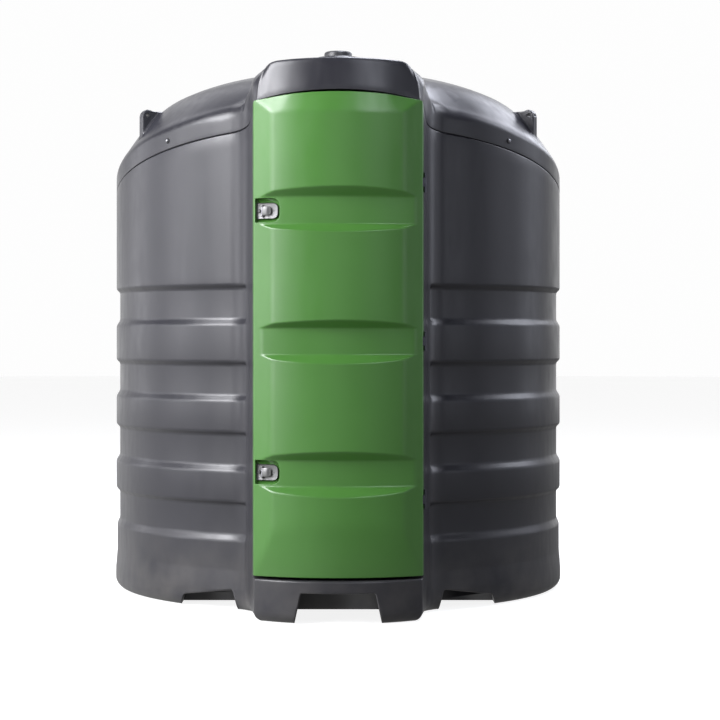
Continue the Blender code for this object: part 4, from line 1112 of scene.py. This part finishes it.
def make_door():
    """Green door: curved skin with lens-shaped bands, bevels and pockets for the latches."""
    bm = bmesh.new()
    rows = door_rows()
    columns = []
    for column in door_columns():
        low = door_point(column, rows[0])
        places = [(low.x, low.y - back, DOOR_LOW + inset)
                  for back, inset in door_rim(low.y - DOOR_BACK)[::-1]]
        heights = list(rows)
        high = 2.45
        for _ in range(4):
            top = door_point(column, high)
            high = DOOR_TOP_PLANE + SEAM_SLOPE * top.y - DOOR_RIM
            high += SEAM_FRONT_RISE * max(top.y - CORNER[1], 0.0)
        heights += [rows[-1] + (high - rows[-1]) * k / TOP_STEPS
                    for k in range(1, TOP_STEPS + 1)]
        places += [(*door_point(column, z), z) for z in heights]
        for back, inset in door_rim(top.y - DOOR_BACK):
            places.append((top.x, top.y - back, high + DOOR_RIM - inset - SEAM_SLOPE * back))
        columns.append([bm.verts.new((x, -forward, z)) for x, forward, z in places])
    skin(bm, columns)
    bmesh.ops.remove_doubles(bm, verts=bm.verts, dist=0.00002)
    outward(bm)
    corners = [(0.0715, 0.0610), (-0.0600, 0.0610), (-0.0600, -0.0580), (0.0715, -0.0580)]
    polygon = rounded_polygon(corners, (0.044, 0.006, 0.006, 0.044), 6)
    for height in LATCH_HEIGHTS.values():
        cut_opening(bm, polygon, latch_matrix(height), latch_zone, 0.002, -POCKET_DEPTH)
    outward(bm)
    door = add_piece("door_skin", bm, GREEN, "door", ["door"])
    reshaped(door, "SOLIDIFY", thickness=DOOR_WALL, offset=-1.0)


def make_tray(word, place):
    """Tray of a latch with the paddle's ears and its rivets."""
    floor = TRAY_FLOOR
    pivot_x, pivot_z = PADDLE_PIVOT
    corners = [(0.056, 0.0385), (-0.056, 0.0385), (-0.056, -0.0385), (0.056, -0.0385)]
    outer = rounded_polygon(corners, (0.031, 0.005, 0.005, 0.031), 7)
    levels = [
        (1.000, 0.0), (1.000, 0.0075), (0.994, 0.0090), (0.982, 0.0095), (0.968, 0.0090),
        (0.960, 0.0075), (0.945, 0.0040), (0.930, 0.0030), (0.900, TRAY_THICK),
    ]
    bm = bmesh.new()
    rings = [[bm.verts.new((p.x * s, p.y * s, floor + z)) for p in outer] for s, z in levels]
    skin(bm, rings, True)
    bm.faces.new(rings[-1])
    bm.faces.new(rings[0])
    swap = Matrix(((1, 0, 0, 0), (0, 0, 1, 0), (0, 1, 0, 0), (0, 0, 0, 1)))
    foot, tip = floor + 0.002, pivot_z + 0.0045
    outline = rounded_polygon(
        [(pivot_x - 0.005, foot), (pivot_x + 0.005, foot), (pivot_x + 0.005, tip),
         (pivot_x - 0.005, tip)], (0.0005, 0.0005, 0.004, 0.004), 4)
    for low in (0.0216, -0.0276):
        merged(bm, moved(plate(outline, low, low + 0.006, 0.0008, 2), swap))
    rivet = [(0.0035, 0.0), (0.0034, 0.0008), (0.0026, 0.0016), (0.0, 0.0019)]
    for u, v in ((0.032, 0.0), (-0.048, 0.0285), (-0.048, -0.0285)):
        merged(bm, turned(rivet, 20, (u, v, floor + TRAY_THICK)))
    outward(bm)
    add_piece(word + "_latch_tray", moved(bm, place), SILVER, "door",
              [word + "_latch_plate"], sharp=40)


def make_paddle(word, place):
    """Paddle of a latch: a hollowed blade, its barrel and its pin."""
    pivot_x, pivot_z = PADDLE_PIVOT
    along, across, half, length = 14, 12, 0.0205, 0.046
    bm = bmesh.new()
    rows = []
    for i in range(along + 1):
        share = i / along
        tip = max(share - 0.72, 0.0) / 0.28
        row = []
        for j in range(across + 1):
            side = -1 + 2 * j / across
            dish = 0.0022 * (1 - side * side)
            rise = 0.0045 * math.sin(math.pi * min(share * 1.05, 1.0))
            rise += dish * (1 - smoothstep(share, 0.60, 0.82))
            row.append(bm.verts.new((pivot_x + 0.001 + length * share,
                                     side * half * (1.0 - 0.30 * tip ** 2),
                                     pivot_z + 0.001 + rise)))
        rows.append(row)
    skin(bm, rows)
    outward(bm)
    if sum(face.normal.z for face in bm.faces) < 0:
        bmesh.ops.reverse_faces(bm, faces=bm.faces)
    blade = add_piece(word + "_paddle_blade", moved(bm, place), SILVER, word + "_paddle",
                      [word + "_latch_paddle"])
    reshaped(blade, "SOLIDIFY", thickness=0.0030, offset=-1.0)
    reshaped(blade, "BEVEL", width=0.0010, segments=3, limit_method="ANGLE",
             angle_limit=math.radians(50))
    bm = bmesh.new()
    reach = 0.0205
    barrel = [(0.0, -reach), (0.0030, -reach), (0.0037, -reach + 0.0008),
              (0.0037, reach - 0.0008), (0.0030, reach), (0.0, reach)]
    reach = 0.0282
    pin = [(0.0, -reach), (0.0026, -reach), (0.0030, -reach + 0.0006),
           (0.0018, -reach + 0.0007), (0.0018, reach - 0.0007), (0.0030, reach - 0.0006),
           (0.0026, reach), (0.0, reach)]
    for profile, steps in ((barrel, 24), (pin, 20)):
        merged(bm, turned(profile, steps, (pivot_x, 0.0, pivot_z), (0, 1, 0)))
    add_piece(word + "_paddle_barrel", moved(bm, place), STEEL, word + "_paddle",
              sharp=40)


def make_lock(word, place):
    """Lock of a latch: a short barrel, with a thin dark sheet on its face as painted shade of a
    key slot.
    """
    barrel = [(0.0, TRAY_THICK), (0.0085, TRAY_THICK), (0.0085, 0.0095), (0.0080, 0.0105),
              (0.0066, 0.0112), (0.0060, 0.0108), (0.0056, 0.0100), (0.0, 0.0100)]
    barrel = [(radius, TRAY_FLOOR + z) for radius, z in barrel]
    bm = moved(turned(barrel, 32, (-0.043, 0.0, 0.0)), place)
    add_piece(word + "_lock_barrel", bm, LOCK, "door", [word + "_latch_lock"],
              sharp=40)
    # Painted shade: a thin dark sheet on the barrel's face stands in for the shade inside a key
    # slot; no slot is cut
    outline = rounded_polygon([(-0.0422, -0.0036), (-0.0422, 0.0036), (-0.0438, 0.0036),
                               (-0.0438, -0.0036)], (0.0006,) * 4, 3)
    slot = plate(outline, TRAY_FLOOR + 0.0100, TRAY_FLOOR + 0.01035, 0.0001, 1)
    add_piece(word + "_key_slot_painted_shade", moved(slot, place), SEAL, "door")


def make_latches():
    """Both latches in their pockets."""
    for word, height in LATCH_HEIGHTS.items():
        place = latch_matrix(height)
        make_tray(word, place)
        make_paddle(word, place)
        make_lock(word, place)


# Small parts

def make_screws():
    """Screws with washers through the rim on both shoulders."""
    for side, hand in ((1, "right"), (-1, "left")):
        x, forward = SCREW_X * side, math.sqrt(RIB_RADIUS ** 2 - SCREW_X ** 2)
        normal = Vector((x, -forward, 0.0)).normalized()
        z = SEAM_AT_AXIS + SEAM_SLOPE * forward + SCREW_RISE
        seat = Vector((x, -forward, z)) - normal * 0.0005
        washer = [(0.0, 0.0), (0.0140, 0.0), (0.0144, 0.0012), (0.0136, 0.0024), (0.0080, 0.0028),
                  (0.0, 0.0028)]
        add_piece("rim_washer_" + hand, turned(washer, 36, seat, normal), SEAL, "tank",
                  sharp=40)
        head = [(0.0, 0.0026), (0.0076, 0.0026), (0.0079, 0.0060), (0.0074, 0.0092),
                (0.0058, 0.0112), (0.0028, 0.0120), (0.0024, 0.0100), (0.0, 0.0100)]
        add_piece("rim_screw_" + hand, turned(head, 36, seat, normal), STEEL, "tank",
                  sharp=40)


def dress_frame_nodes():
    """Finishes for the CAD pieces that stay in view."""
    finishes = dict.fromkeys(["cabinet_back"] + both_hands("cabinet_side"), INSIDE)
    finishes["tank_floor"] = GREY
    for word in ("top", "middle", "bottom"):
        finishes[word + "_hinge_fixed_leaf"] = HINGE
        finishes[word + "_hinge_door_leaf"] = HINGE
    for name, material in finishes.items():
        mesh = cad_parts[name].data
        mesh.materials.clear()
        mesh.materials.append(material)


# Studio

# Soft boxes on a sphere round the tank: degrees from the front, degrees up, strength
SOFT_BOXES = (
    (-50, 32, 3.220), (-65, 32, 3.039), (-50, 10, 1.250), (-80, 10, 0.838), (-115, 10, 0.465),
    (-35, 10, 0.269), (-65, 10, 0.244), (-95, 10, 0.225), (0, 10, 0.122), (25, 32, 0.785),
    (25, 10, 0.103), (55, 10, 0.204), (85, 10, 0.160), (110, 10, 0.251), (110, 32, 1.023),
    (140, 32, 0.806), (120, 76, 5.481), (-138, 50, 0.330),
)
# Tint of the light from the left and from the right
TINTS = ((1.0, 1.0, 1.04), (0.97, 1.0, 1.12))
BOX_DISTANCE = 10.0
BOX_SIZE = (3.2, 4.6)
BOX_POWER = 231.0
AIM = Vector((0.0, 0.0, 1.3))


def add_light(name, kind, towards, place=(0.0, 0.0, 0.0), **settings):
    """A soft light that shines along a direction."""
    light = linked(name, adjusted(bpy.data.lights.new(name, kind), **settings))
    light.location = place
    light.rotation_euler = Vector(towards).to_track_quat("-Z", "Y").to_euler()


def make_world():
    """Soft surroundings: white behind the tank, the ground's sheen below it, dark elsewhere."""
    world = bpy.data.worlds.new("studio")
    bpy.context.scene.world = world
    made = Nodes(world)
    split = made.node("ShaderNodeSeparateXYZ")
    made.feed(split.inputs[0], made.node("ShaderNodeTexCoord").outputs["Generated"])
    x, y, z = split.outputs
    ease = "SMOOTHSTEP"
    behind = made.math("MULTIPLY", made.remap(z, -0.05, -0.01, 0.0, 1.0, ease),
                       made.remap(y, 0.55, 0.93, 0.0, WHITE, ease))
    ground = made.math("MULTIPLY", made.remap(z, -0.04, 0.04, 1.0, 0.0, ease),
                       made.remap(x, -0.8, 0.2, 0.960, 0.270, ease))
    background = made.tree.nodes["Background"]
    made.feed(background.inputs["Strength"], made.math("ADD", behind, ground))
    made.feed(background.inputs["Color"], (1.0, 1.0, 1.0, 1.0))


def stage_piece(name, bm, place, tone, glow):
    """A pale piece of the studio that the camera sees and that leaves the tank's light alone."""
    material = bpy.data.materials.new(name + "_white")
    made = Nodes(material)
    shader = made.tree.nodes["Principled BSDF"]
    for socket, value in (("Base Color", (tone, tone, tone, 1.0)), ("Roughness", 0.9),
                          ("Specular IOR Level", 0.1), ("Emission Color", (1.0, 1.0, 1.0, 1.0)),
                          ("Emission Strength", glow)):
        made.feed(shader.inputs[socket], value)
    piece = linked(name, mesh_of(name, bm))
    piece.data.materials.append(material)
    adjusted(piece, location=place, visible_diffuse=False, visible_glossy=False)
    return piece


def make_studio():
    """Floor, backdrop, lights and camera."""
    bm = bmesh.new()
    bmesh.ops.create_grid(bm, x_segments=1, y_segments=1, size=60.0)
    stage_piece("floor", bm, (0.0, 0.0, -0.001), tone=0.30, glow=0.86)
    bm = bmesh.new()
    bmesh.ops.create_uvsphere(bm, u_segments=64, v_segments=32, radius=58.0)
    backdrop = stage_piece("backdrop", bm, (0.0, 0.0, 0.0), tone=0.0, glow=WHITE)
    backdrop.visible_shadow = False
    make_world()
    for azimuth, elevation, strength in SOFT_BOXES:
        turn, rise = math.radians(azimuth), math.radians(elevation)
        way = Vector((math.sin(turn) * math.cos(rise), -math.cos(turn) * math.cos(rise),
                      math.sin(rise)))
        place = AIM + way * BOX_DISTANCE
        add_light("soft_box", "AREA", AIM - place, place, shape="RECTANGLE", size=BOX_SIZE[0],
                  size_y=BOX_SIZE[1], energy=strength * BOX_POWER, color=TINTS[azimuth > 0])
    add_light("top", "SUN", (0.0, -0.60, -1.0), energy=0.35, angle=math.radians(40.0))
    bpy.context.scene.view_settings.view_transform = "Standard"
    data = adjusted(bpy.data.cameras.new("camera"), lens=96.03, sensor_width=36.0,
                    shift_x=0.0303, shift_y=-0.0306, clip_end=200.0)
    bpy.context.scene.camera = adjusted(linked("camera", data), location=(0.0, -10.666, 1.354),
                                        rotation_euler=(math.pi / 2, 0.0, 0.0))


outline = full_outline()
make_body(outline)
make_lid(outline)
make_lugs()
make_hatch()
make_door()
make_latches()
make_screws()
dress_frame_nodes()
make_studio()
